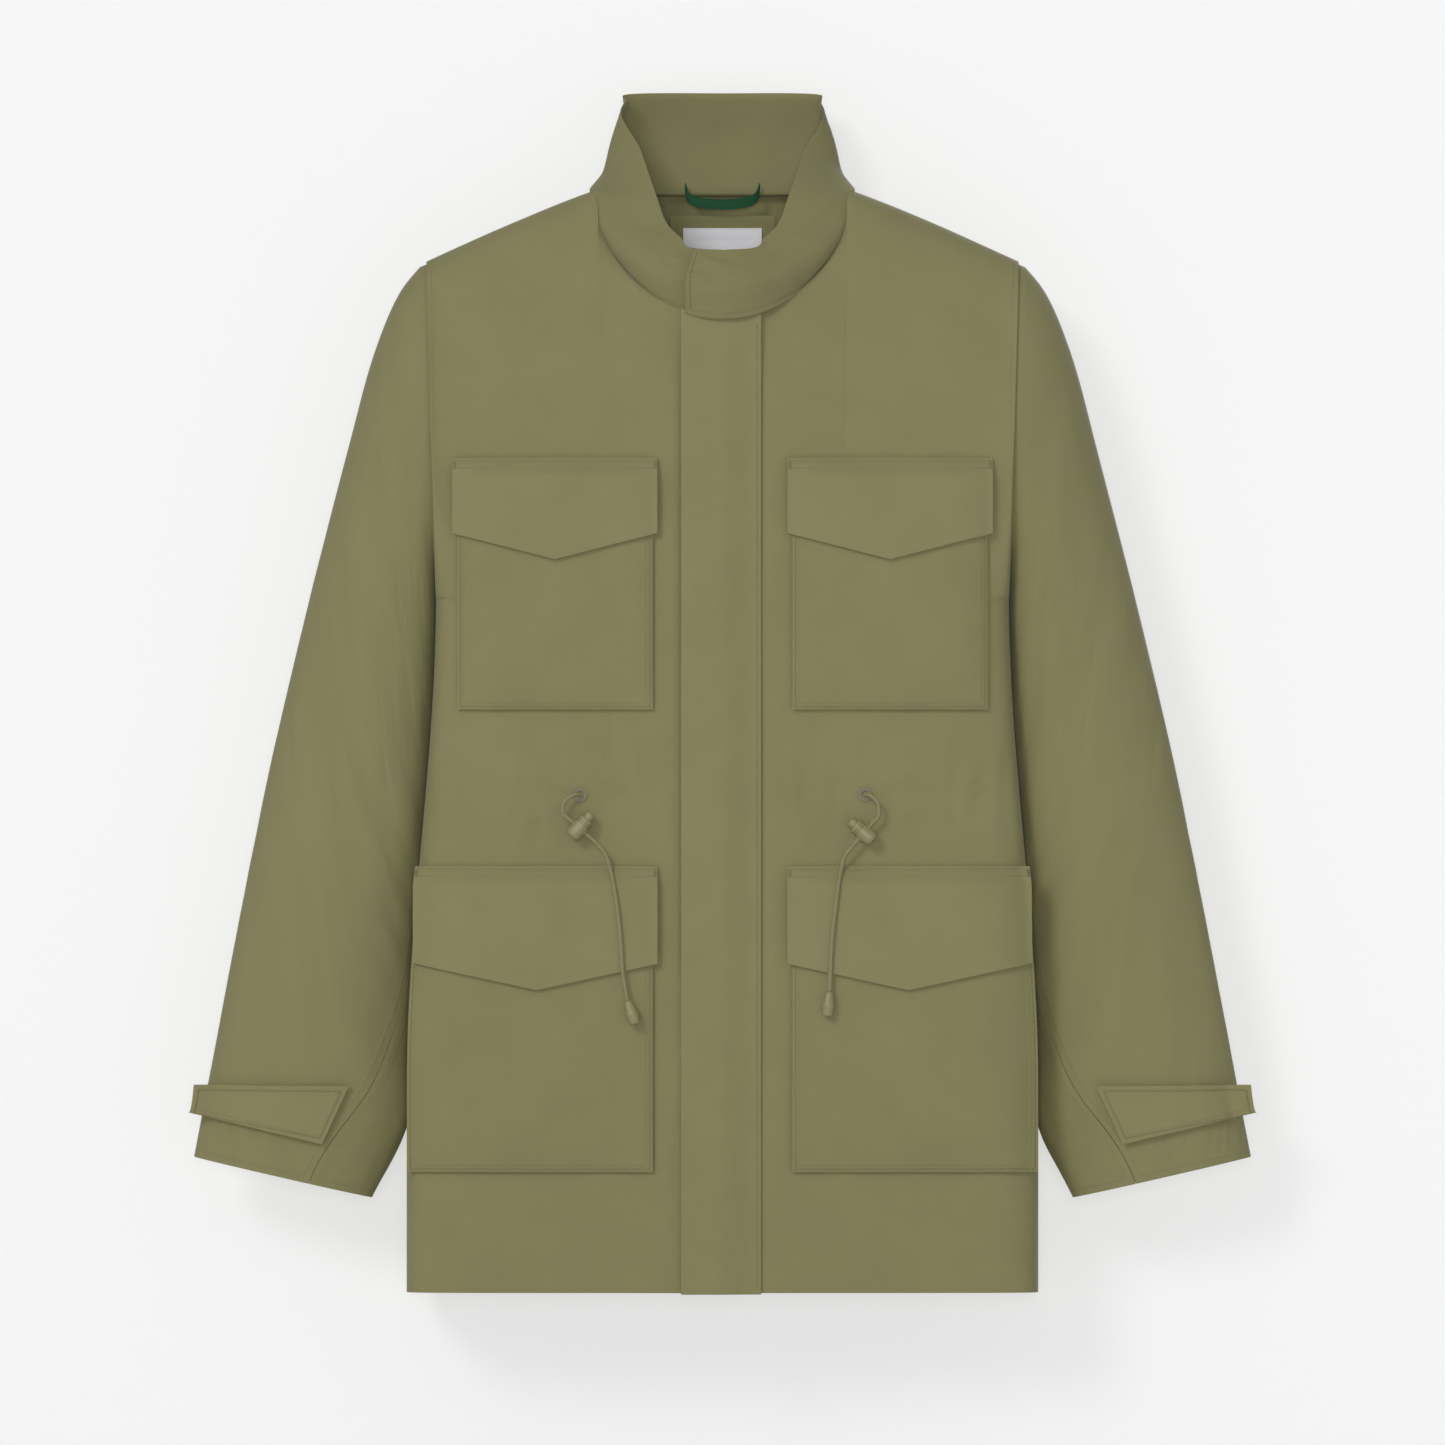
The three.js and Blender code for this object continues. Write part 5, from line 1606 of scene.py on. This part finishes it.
@dataclass
class StormFly:
    """The fly that hides the zip, sewn down beside the left front's edge."""

    stand: float = 5.6
    cloth: float = 2.6
    top: float = LENGTH - NECK_DROP - 2.0
    bend: tuple[float, float] = (27.5, 12.0)  # the fly bends between these, counted from the centre
    bend_depth: float = 58.5

    def at(self, x: float, z: float) -> Vector:
        """A place on the fly's outer face.

        Args:
            x: Distance from the centre.
            z: Height above the hem.

        Returns:
            The place.
        """
        slope = ease(x, FLY_SEAM - 29, FLY_SEAM)
        high, low = FRONT_FACE + self.stand + self.cloth, FRONT_FACE + 0.5 + self.cloth
        wave = 0.55 * ripple(x / 40, z / 60, 3.3) + 0.35 * ripple(x / 15, z / 26, 9.1)
        tuck = 2.9 * ease(z, self.top - 26, self.top + 4)
        y = lerp(high - tuck, low, slope) + wave * (1 - slope)
        return Vector((x, -y, z))

    def neck(self, x: float) -> float:
        """The height of the neck seam, where the fly's top is sewn in."""
        return LENGTH - NECK_DROP * math.sqrt(1 - (x / NECK_HALF) ** 2) + 0.8

    def cut(self, u: float, v: float) -> Vector:
        """The fly's outline: straight sides and hem, its top following the neck."""
        x = lerp(FLY_EDGE, FLY_SEAM + 3, u)
        return self.at(x, lerp(-1, self.neck(x), v))

    def build(self, wardrobe: Wardrobe) -> None:
        """Makes the fly and its row of stitching.

        Args:
            wardrobe: The finishes.
        """
        fly = Panel(
            "storm_fly_cloth", self.cut, 34, 200, BODY_HEART, wardrobe.flap, "flap", ("storm_fly",),
            thickness=self.cloth, sewn=(), held="laid", soft_edge=0.7,
        ).make()
        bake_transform(fly)
        rows = Stitching("storm_fly_stitching", wardrobe.thread, "flap")
        out = Vector((0, -1, 0))
        rows.row(lambda s: (self.at(FLY_SEAM, lerp(3, self.top - 3, s)), out), self.top)
        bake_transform(rows.make())
        LOG.info("fly made")


@dataclass
class Zip:
    """The teeth of the zip under the fly; its tapes, slider and pull keep their frame pieces."""

    tooth: float = 2.6
    height: float = 1.6
    pitch: float = 2.9
    bottom: float = 12.0
    top: float = 695.0

    def build(self, wardrobe: Wardrobe) -> None:
        """Makes both rows of teeth.

        Args:
            wardrobe: The finishes.
        """
        for side in Side:
            low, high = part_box(f"zip_teeth_{side.word}")
            bm = bmesh.new()
            count = int((self.top - self.bottom) / self.pitch)
            middle = (low + high) / 2
            for i in range(count):
                z = high.z - (i + 0.5 + 0.5 * (side is Side.LEFT)) * self.pitch / 1000
                size = Matrix.Diagonal((self.tooth / 1000, high.y - low.y, self.height / 1000, 1))
                bmesh.ops.create_cube(bm, size=1.0, matrix=Matrix.Translation((middle.x, middle.y, z)) @ size)
            obj = finished(f"zip_teeth_row_{side.word}", bm, wardrobe.brass)
            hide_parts(f"zip_teeth_{side.word}")
            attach(obj, "jacket")
        LOG.info("zip made")


# ---- Waist drawcord ---------------------------------------------------------------------------


@dataclass
class DrawcordTail:
    """A free end of the waist cord: out of its eyelet, through the lock and down over the lower flap."""

    side: Side
    lock: Vector
    along: Vector
    before: tuple[tuple[float, float, float], ...]
    after: tuple[float, float, float]
    hang: tuple[tuple[float, float, float], ...]
    end: Vector
    stand: float = 8.4
    lock_length: float = 17.0
    lock_radius: float = 5.75

    def origin(self) -> Vector:
        """The front centre at the waist line."""
        return Vector((0, -FRONT_FACE, WAIST))

    def route(self) -> list[Vector]:
        """The cord's whole line, in millimetres.

        Returns:
            Places a few millimetres apart, lifted where the cord lies on the flap.
        """
        middle = self.lock + Vector((0, -self.stand, 0))
        reach = self.lock_radius + 4
        straight = [middle + self.along.normalized() * d for d in (-reach - 6, -reach, 0, reach, reach + 6)]
        points = [Vector(p) for p in self.before] + straight + [Vector(p) for p in (self.after, *self.hang)]
        line = Curve([p + self.origin() for p in points])
        count = int(line.length / 2.2)
        route = [line.along(i / count) for i in range(count + 1)]
        flap = lower_pocket(self.side)
        for p in route:
            below = flap.seam - p.z
            if below > -14:
                wide = flap.outer(flap.seam) + 2 * flap.overhang - flap.inner
                u = (abs(p.x) - flap.inner + flap.overhang) / wide
                on = flap.flap_at(u, max(0.0, min(below, 74.0)), flap.flap_cloth + CORD_RADIUS + 0.5)[0]
                p.y = lerp(p.y, on.y, ease(below, -14, 16))
        return route

    def build(self, wardrobe: Wardrobe) -> None:
        """Makes the cord, its end and its lock.

        Args:
            wardrobe: The finishes.
        """
        word = self.side.word
        route = self.route()
        path = [metres(p) for p in route]
        curve = bpy.data.curves.new(f"cord_line_{word}", "CURVE")
        curve.dimensions = "3D"
        curve.bevel_depth = CORD_RADIUS / 1000
        curve.bevel_resolution = 4
        curve.use_fill_caps = True
        spline = curve.splines.new("POLY")
        spline.points.add(len(path) - 1)
        for knot, p in zip(spline.points, path):
            knot.co = (*p, 1)
        carrier = bpy.data.objects.new(f"cord_line_{word}", curve)
        mesh = bpy.data.meshes.new_from_object(carrier)
        bpy.data.objects.remove(carrier)
        bpy.data.curves.remove(curve)
        mesh.name = f"drawcord_tail_{word}"
        mesh.materials.clear()
        mesh.materials.append(wardrobe.cord)
        mesh.shade_smooth()
        cord = bpy.data.objects.new(f"drawcord_tail_{word}", mesh)
        bpy.context.scene.collection.objects.link(cord)
        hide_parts(f"cord_tail_upper_{word}", f"cord_tail_lower_{word}")
        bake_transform(cord)
        bell = self.cord_end(route[-1], wardrobe)
        self.cord_lock(wardrobe)

    def lathe(self, profile: Sequence[tuple[float, float]], steps: int) -> bmesh.types.BMesh:
        """Spins a profile of (radius, height) pairs round Z.

        Args:
            profile: Radius and height at each corner of the outline.
            steps: Steps round the turn.

        Returns:
            The closed solid, in millimetres.
        """
        bm = bmesh.new()
        verts = [bm.verts.new((r, 0, h)) for r, h in profile]
        edges = [bm.edges.new(pair) for pair in zip(verts, verts[1:])]
        bmesh.ops.spin(
            bm, geom=verts + edges, cent=(0, 0, 0), axis=(0, 0, 1), angle=2 * math.pi, steps=steps, use_merge=True
        )
        bmesh.ops.remove_doubles(bm, verts=bm.verts[:], dist=1e-4)
        bmesh.ops.recalc_face_normals(bm, faces=bm.faces[:])
        return bm

    def moulded(self, name: str, profile: Sequence[tuple[float, float]], steps: int, place: Matrix,
                wardrobe: Wardrobe, body: str, node: str = "") -> bpy.types.Object:
        """Spins one moulded fitting, puts it in its place and dresses it.

        Args:
            name: The piece's name, without its side.
            profile: Radius and height at each corner of the outline, in millimetres.
            steps: Steps round the turn.
            place: Where the fitting stands and how it is turned, in metres.
            wardrobe: The finishes.
            body: The body that it rides on, without its side.
            node: The frame piece that it stands for, without its side.

        Returns:
            The fitting.
        """
        word = self.side.word
        bm = self.lathe(profile, steps)
        bmesh.ops.transform(bm, matrix=place @ Matrix.Scale(0.001, 4), verts=bm.verts[:])
        obj = finished(f"{name}_{word}", bm, wardrobe.nylon)
        if node:
            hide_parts(f"{node}_{word}")
        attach(obj, f"{body}_{word}")
        return obj

    def cord_end(self, foot: Vector, wardrobe: Wardrobe) -> bpy.types.Object:
        """The moulded bell on the cord's end, with a collar and a rounded lip.

        Args:
            foot: The end of the cord.
            wardrobe: The finishes.

        Returns:
            The bell.
        """
        profile = [
            (0, 0), (2.1, 0), (2.5, 0.3), (2.8, 1.2), (3.2, 2.6), (4.3, 8.6), (4.7, 9.8), (4.7, 10.6),
            (4.4, 11.4), (4.2, 15.4), (3.9, 17.0), (3.0, 17.8), (0, 18),
        ]
        turn = Vector((0, 0, 1)).rotation_difference(self.end.normalized()).to_matrix().to_4x4()
        place = Matrix.Translation(metres(foot + self.end.normalized() * 0.4)) @ turn
        return self.moulded("cord_bell", profile, 32, place, wardrobe, "lower_flap", "cord_end")

    def cord_lock(self, wardrobe: Wardrobe) -> None:
        """The barrel of the cord lock with its ribs, and the button of its plunger.

        Args:
            wardrobe: The finishes.
        """
        along = self.along.normalized()
        axis = Vector((math.copysign(abs(along.z), along.x), 0, abs(along.x))).normalized()
        across = along.cross(axis)
        turn = Matrix((along, across, axis)).transposed().to_4x4()
        at = metres(self.lock + self.origin() + Vector((0, -self.stand, 0)))
        half = self.lock_length / 2
        r = self.lock_radius
        profile = [(0, -half), (r - 2.2, -half), (r - 0.9, -half + 0.5), (r - 0.15, -half + 1.9), (r, -half + 3)]
        for k in range(2):
            z = half - 5.4 + 2.0 * k
            profile += [(r, z), (r - 0.5, z + 0.3), (r - 0.5, z + 0.9), (r, z + 1.2)]
        profile += [(r, half - 1.0), (r - 0.5, half - 0.2), (r - 1.2, half), (3.95, half), (3.95, half - 5)]
        place = Matrix.Translation(at) @ turn
        self.moulded("cord_lock_barrel", profile, 40, place, wardrobe, "cord_lock", "cord_lock")
        top = half + 5
        button = [(0, half - 5.5), (3.6, half - 5.5), (3.6, top - 1.3), (3.3, top - 0.5), (2.5, top - 0.1), (0, top)]
        self.moulded("cord_lock_button", button, 32, place, wardrobe, "cord_lock_plunger", "cord_lock_plunger")
        rim = [(1.9, -0.35), (2.9, -0.35), (3.1, 0.0), (2.9, 0.4), (2.1, 0.5), (1.9, 0.1)]
        face = Vector((0, 0, 1)).rotation_difference(along).to_matrix().to_4x4()
        for mark, reach in (("in", -r + 0.35), ("out", r - 0.35)):
            spot = Matrix.Translation(at + along * reach / 1000) @ face
            self.moulded(f"cord_lock_rim_{mark}", rim, 24, spot, wardrobe, "cord_lock")


# ---- Cuff tabs --------------------------------------------------------------------------------


@dataclass
class CuffTab:
    """The strap that narrows the cuff, with its hook and loop patches."""

    side: Side
    width: float = 42.0
    rise: float = 31.0
    stand: float = 4.9

    def at(self, across: float, rise: float, raise_by: float) -> Vector:
        """A place over the cuff's front: across is 0 at the sewn end, rise 0 at the lower edge.

        Args:
            across: 0 at the sewn end, 1 at the tip.
            rise: 0 at the lower edge, 1 at the upper.
            raise_by: Millimetres off the sleeve.

        Returns:
            The place; past the sleeve's edge it keeps straight on.
        """
        corner, tilt = SLEEVE.corner, SLEEVE.cuff_tilt
        foot = corner.x - 0.72 * SLEEVE.cuff_width * math.cos(tilt)
        root_x = foot - 0.46 * self.width * rise
        root_z = corner.z - (corner.x - foot) * math.tan(tilt) + self.rise + self.width * rise
        tip_x = corner.x + 1 - 4 * rise
        tip_z = lerp(root_z + 22 * (1 - rise), root_z, rise)
        x, z = lerp(root_x, tip_x, across), lerp(root_z, tip_z, across)
        past = max(0.0, x - (corner.x - 9 - 0.24 * (z - corner.z)))
        turn, along = SLEEVE.place_at(x - past, z)
        side = self.side
        place = SLEEVE.point(side, turn, along) + Vector((side.value * past, 0, 0))
        around = SLEEVE.point(side, turn + 0.02, along) - SLEEVE.point(side, turn - 0.02, along)
        down = SLEEVE.point(side, turn, along + 0.004) - SLEEVE.point(side, turn, along - 0.004)
        out = down.cross(around).normalized() * -side.value
        if out.y > 0.3:
            out = -out
        return place + out * (raise_by + 0.5 * SLEEVE.drape(side, turn, along))

    def layer(self, name: str, a: tuple[float, float], r: tuple[float, float], outer: float, thick: float,
              finish: bpy.types.Material, slot: str, node: str, cells: tuple[int, int]) -> bpy.types.Object:
        """Makes one layer over the cuff.

        Args:
            name: The piece's name.
            a: Its span across.
            r: Its span up.
            outer: Its outer face's height off the sleeve.
            thick: Its thickness.
            finish: Its material.
            slot: Its material slot.
            node: The frame piece that it stands for.
            cells: Columns and rows.

        Returns:
            The finished piece.
        """
        heart = SLEEVE.point(self.side, 0.7, 0.93)
        heart.y = 0
        return Panel(
            name, lambda u, v: self.at(lerp(*a, u), lerp(*r, v), outer), cells[0], cells[1], heart, finish, slot,
            (node,), thickness=thick, held="laid", soft_edge=0.4,
        ).make()

    def build(self, wardrobe: Wardrobe) -> None:
        """Makes the tab and its patches.

        Args:
            wardrobe: The finishes.
        """
        word = self.side.word
        body = f"cuff_tab_{word}"
        for kind, start, outer, columns, carrier in (
            ("loop", 0.3, 1.2, 16, "jacket"), ("hook", 0.55, 2.4, 12, body),
        ):
            patch = self.layer(
                f"cuff_{kind}s_{word}", (start, 0.92), (0.25, 0.8), outer, 0.7, wardrobe.tape, "tape",
                f"cuff_{kind}_patch_{word}", (columns, 6),
            )
            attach(patch, carrier)
        tab = self.layer(
            f"cuff_strap_{word}", (0, 1), (0, 1), self.stand, 2.0, wardrobe.flap, "flap", body, (44, 12)
        )
        root, inner = (metres(self.at(a, 0.5, self.stand)) for a in (0, 0.07))
        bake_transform(tab)
        rows = Stitching(f"cuff_strap_stitching_{word}", wardrobe.thread, "flap")

        def on(a: float, r: float) -> tuple[Vector, Vector]:
            """A place on the tab's face, and its outward normal."""
            low, high = self.at(a, r, self.stand), self.at(a, r, self.stand + 1)
            return low, (high - low).normalized()

        for r in (0.09, 0.91):
            rows.row(lambda s, r=r: on(lerp(0.03, 0.97, s), r), 100)
        for a, long in ((0.965, 32), (0.035, 40)):
            rows.row(lambda s, a=a: on(a, lerp(0.09, 0.91, s)), long)
        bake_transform(rows.make())


# ---- Pieces that keep their frame shape -------------------------------------------------------


def dress_frame_pieces(wardrobe: Wardrobe) -> None:
    """Gives the small pieces that keep their frame shape their finishes.

    Args:
        wardrobe: The finishes.
    """
    finishes = {
        "zip_tape": wardrobe.tape, "zip_bottom_box": wardrobe.steel, "zip_slider": wardrobe.steel,
        "zip_pull": wardrobe.steel, "eyelet": wardrobe.enamel, "cord_lock_spring": wardrobe.steel,
        "fly_socket_tape": wardrobe.tape, "fly_stud_tape": wardrobe.tape, "waist_channel": wardrobe.lining,
        "waist_cord": wardrobe.cord,
    }
    for name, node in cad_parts.items():
        for start, finish in finishes.items():
            if name.startswith(start):
                node.data.materials.clear()
                node.data.materials.append(finish)
    LOG.info("frame pieces dressed")


# ---- Studio -----------------------------------------------------------------------------------


@dataclass
class Studio:
    """A pale sweep behind and below, a soft key from the upper left and a long lens from the front."""

    paper: str = "f3f3f3"
    wall_tone: str = "a8a8a8"
    wall_y: float = 0.064
    wall_glow: float = 0.56
    floor_z: float = -0.93
    view_z: float = -0.3852
    view_width: float = 1.0404
    distance: float = 14.0
    sky: str = "f4f4f4"
    sky_light: float = 0.37
    sensor: float = 36.0

    def sheet(self, name: str, size: float, turn: Matrix, place: Vector, see_through: bool) -> None:
        """Makes one flat sheet of paper.

        Args:
            name: Its name.
            size: Half its side, in metres.
            turn: How it is turned from lying flat.
            place: Its centre.
            see_through: Whether it shows from its front only, glows a little and casts no light.
        """
        bm = bmesh.new()
        bmesh.ops.create_grid(bm, x_segments=1, y_segments=1, size=size)
        bmesh.ops.transform(bm, matrix=Matrix.Translation(place) @ turn, verts=bm.verts[:])
        material, tree = new_material(f"{name}_paper")
        tone = self.wall_tone if see_through else self.paper
        shader = add_node(tree, "ShaderNodeBsdfDiffuse", {"Color": linear(tone)}).outputs[0]
        if see_through:
            back = add_node(tree, "ShaderNodeNewGeometry").outputs["Backfacing"]
            clear = add_node(tree, "ShaderNodeBsdfTransparent").outputs[0]
            light = {"Color": linear("ffffff"), "Strength": self.wall_glow}
            glow = add_node(tree, "ShaderNodeEmission", light).outputs[0]
            lit = add_node(tree, "ShaderNodeAddShader", {0: shader, 1: glow}).outputs[0]
            shader = add_node(tree, "ShaderNodeMixShader", {0: back, 1: lit, 2: clear}).outputs[0]
        add_node(tree, "ShaderNodeOutputMaterial", {"Surface": shader})
        obj = finished(name, bm, material)
        if see_through:
            obj.visible_shadow = False
            obj.visible_diffuse = False
            obj.visible_glossy = False

    def light(self, scene: bpy.types.Scene) -> None:
        """Lights the room: the world's even glow and three broad suns.

        Args:
            scene: The scene.
        """
        world = bpy.data.worlds.new("studio")
        world.use_nodes = True
        tree = world.node_tree
        tree.nodes.clear()
        ray = add_node(tree, "ShaderNodeLightPath").outputs["Is Camera Ray"]
        seen, light = (
            add_node(tree, "ShaderNodeBackground", {"Color": linear(tone), "Strength": strength}).outputs[0]
            for tone, strength in ((self.sky, 1.0), ("ffffff", self.sky_light))
        )
        mixed = add_node(tree, "ShaderNodeMixShader", {0: ray, 1: light, 2: seen}).outputs[0]
        add_node(tree, "ShaderNodeOutputWorld", {"Surface": mixed})
        scene.world = world
        for name, strength, angle, aim in (
            ("key", 0.92, 18, Vector((0.6, 1.0, -0.65))),
            ("front", 0.85, 12, Vector((0.0, 1.0, -0.04))),
            ("back_fill", 1.0, 40, Vector((-0.3, -1.0, -0.5))),
        ):
            lamp = bpy.data.lights.new(name, "SUN")
            lamp.energy = strength
            lamp.angle = math.radians(angle)
            obj = bpy.data.objects.new(name, lamp)
            obj.rotation_euler = aim.to_track_quat("-Z", "Y").to_euler()
            scene.collection.objects.link(obj)

    def camera(self, scene: bpy.types.Scene) -> None:
        """Sets up the long lens, square to the front.

        Args:
            scene: The scene.
        """
        data = bpy.data.cameras.new("camera")
        data.sensor_width = self.sensor
        data.lens = self.sensor * (self.distance - FRONT_FACE / 1000) / self.view_width
        data.clip_end = 60
        camera = bpy.data.objects.new("camera", data)
        camera.location = (0, -self.distance, self.view_z)
        camera.rotation_euler = (math.pi / 2, 0, 0)
        scene.collection.objects.link(camera)
        scene.camera = camera

    def build(self) -> None:
        """Sets up the backdrop and the floor, the lights and the camera."""
        scene = bpy.context.scene
        self.sheet("backdrop", 6.0, Matrix.Rotation(math.pi / 2, 4, "X"), Vector((0, self.wall_y, 0)), True)
        self.sheet("floor", 8.0, Matrix.Identity(4), Vector((0, 0, self.floor_z)), False)
        self.light(scene)
        self.camera(scene)
        scene.view_settings.view_transform = "Standard"
        LOG.info("studio set up")


def drawcord_tails() -> list[DrawcordTail]:
    """The two free ends of the waist cord, places relative to the front centre at the waist.

    Returns:
        The left and the right tail.
    """
    return [
        DrawcordTail(
            Side.LEFT, Vector((101.9, 0, -27.6)), Vector((-0.653, 0, -0.757)),
            ((EYELET_X, -3.1, 0), (106.2, -7, -0.5), (111.6, -8.4, -6)), (87.6, -8.8, -45),
            ((85, -10.2, -56), (83, -14.8, -68), (81, -14.8, -84), (79, -14.8, -102), (77.6, -14.8, -126),
             (77.1, -14.8, -141.5)),
            Vector((-0.1, 0, -1)),
        ),
        DrawcordTail(
            Side.RIGHT, Vector((-103.2, 0, -23.9)), Vector((0.75, 0, -0.66)),
            ((-EYELET_X, -3.1, 0), (-106.6, -7, -0.2), (-113.4, -8.4, -4.4)), (-84.2, -8.8, -43),
            ((-80.2, -10.2, -56), (-78, -14.8, -67), (-75.4, -14.8, -84), (-73, -14.8, -109), (-71.5, -14.8, -130),
             (-68.4, -14.8, -148)),
            Vector((0.32, 0, -0.95)),
        ),
    ]


def main() -> None:
    """Builds every sub-assembly in order."""
    logging.basicConfig(level=logging.INFO, format="%(message)s")
    wardrobe = Wardrobe()
    Studio().build()
    for tail in drawcord_tails():
        tail.build(wardrobe)
    LOG.info("drawcord tails made")
    Shell().build(wardrobe)
    Lining().build(wardrobe)
    Collar().build(wardrobe)
    NeckTrim().build(wardrobe)
    for side in Side:
        chest_pocket(side).build(wardrobe)
        lower_pocket(side).build(wardrobe)
        CuffTab(side).build(wardrobe)
    LOG.info("pockets and cuff tabs made")
    StormFly().build(wardrobe)
    Zip().build(wardrobe)
    dress_frame_pieces(wardrobe)


if __name__ == "__main__":
    main()
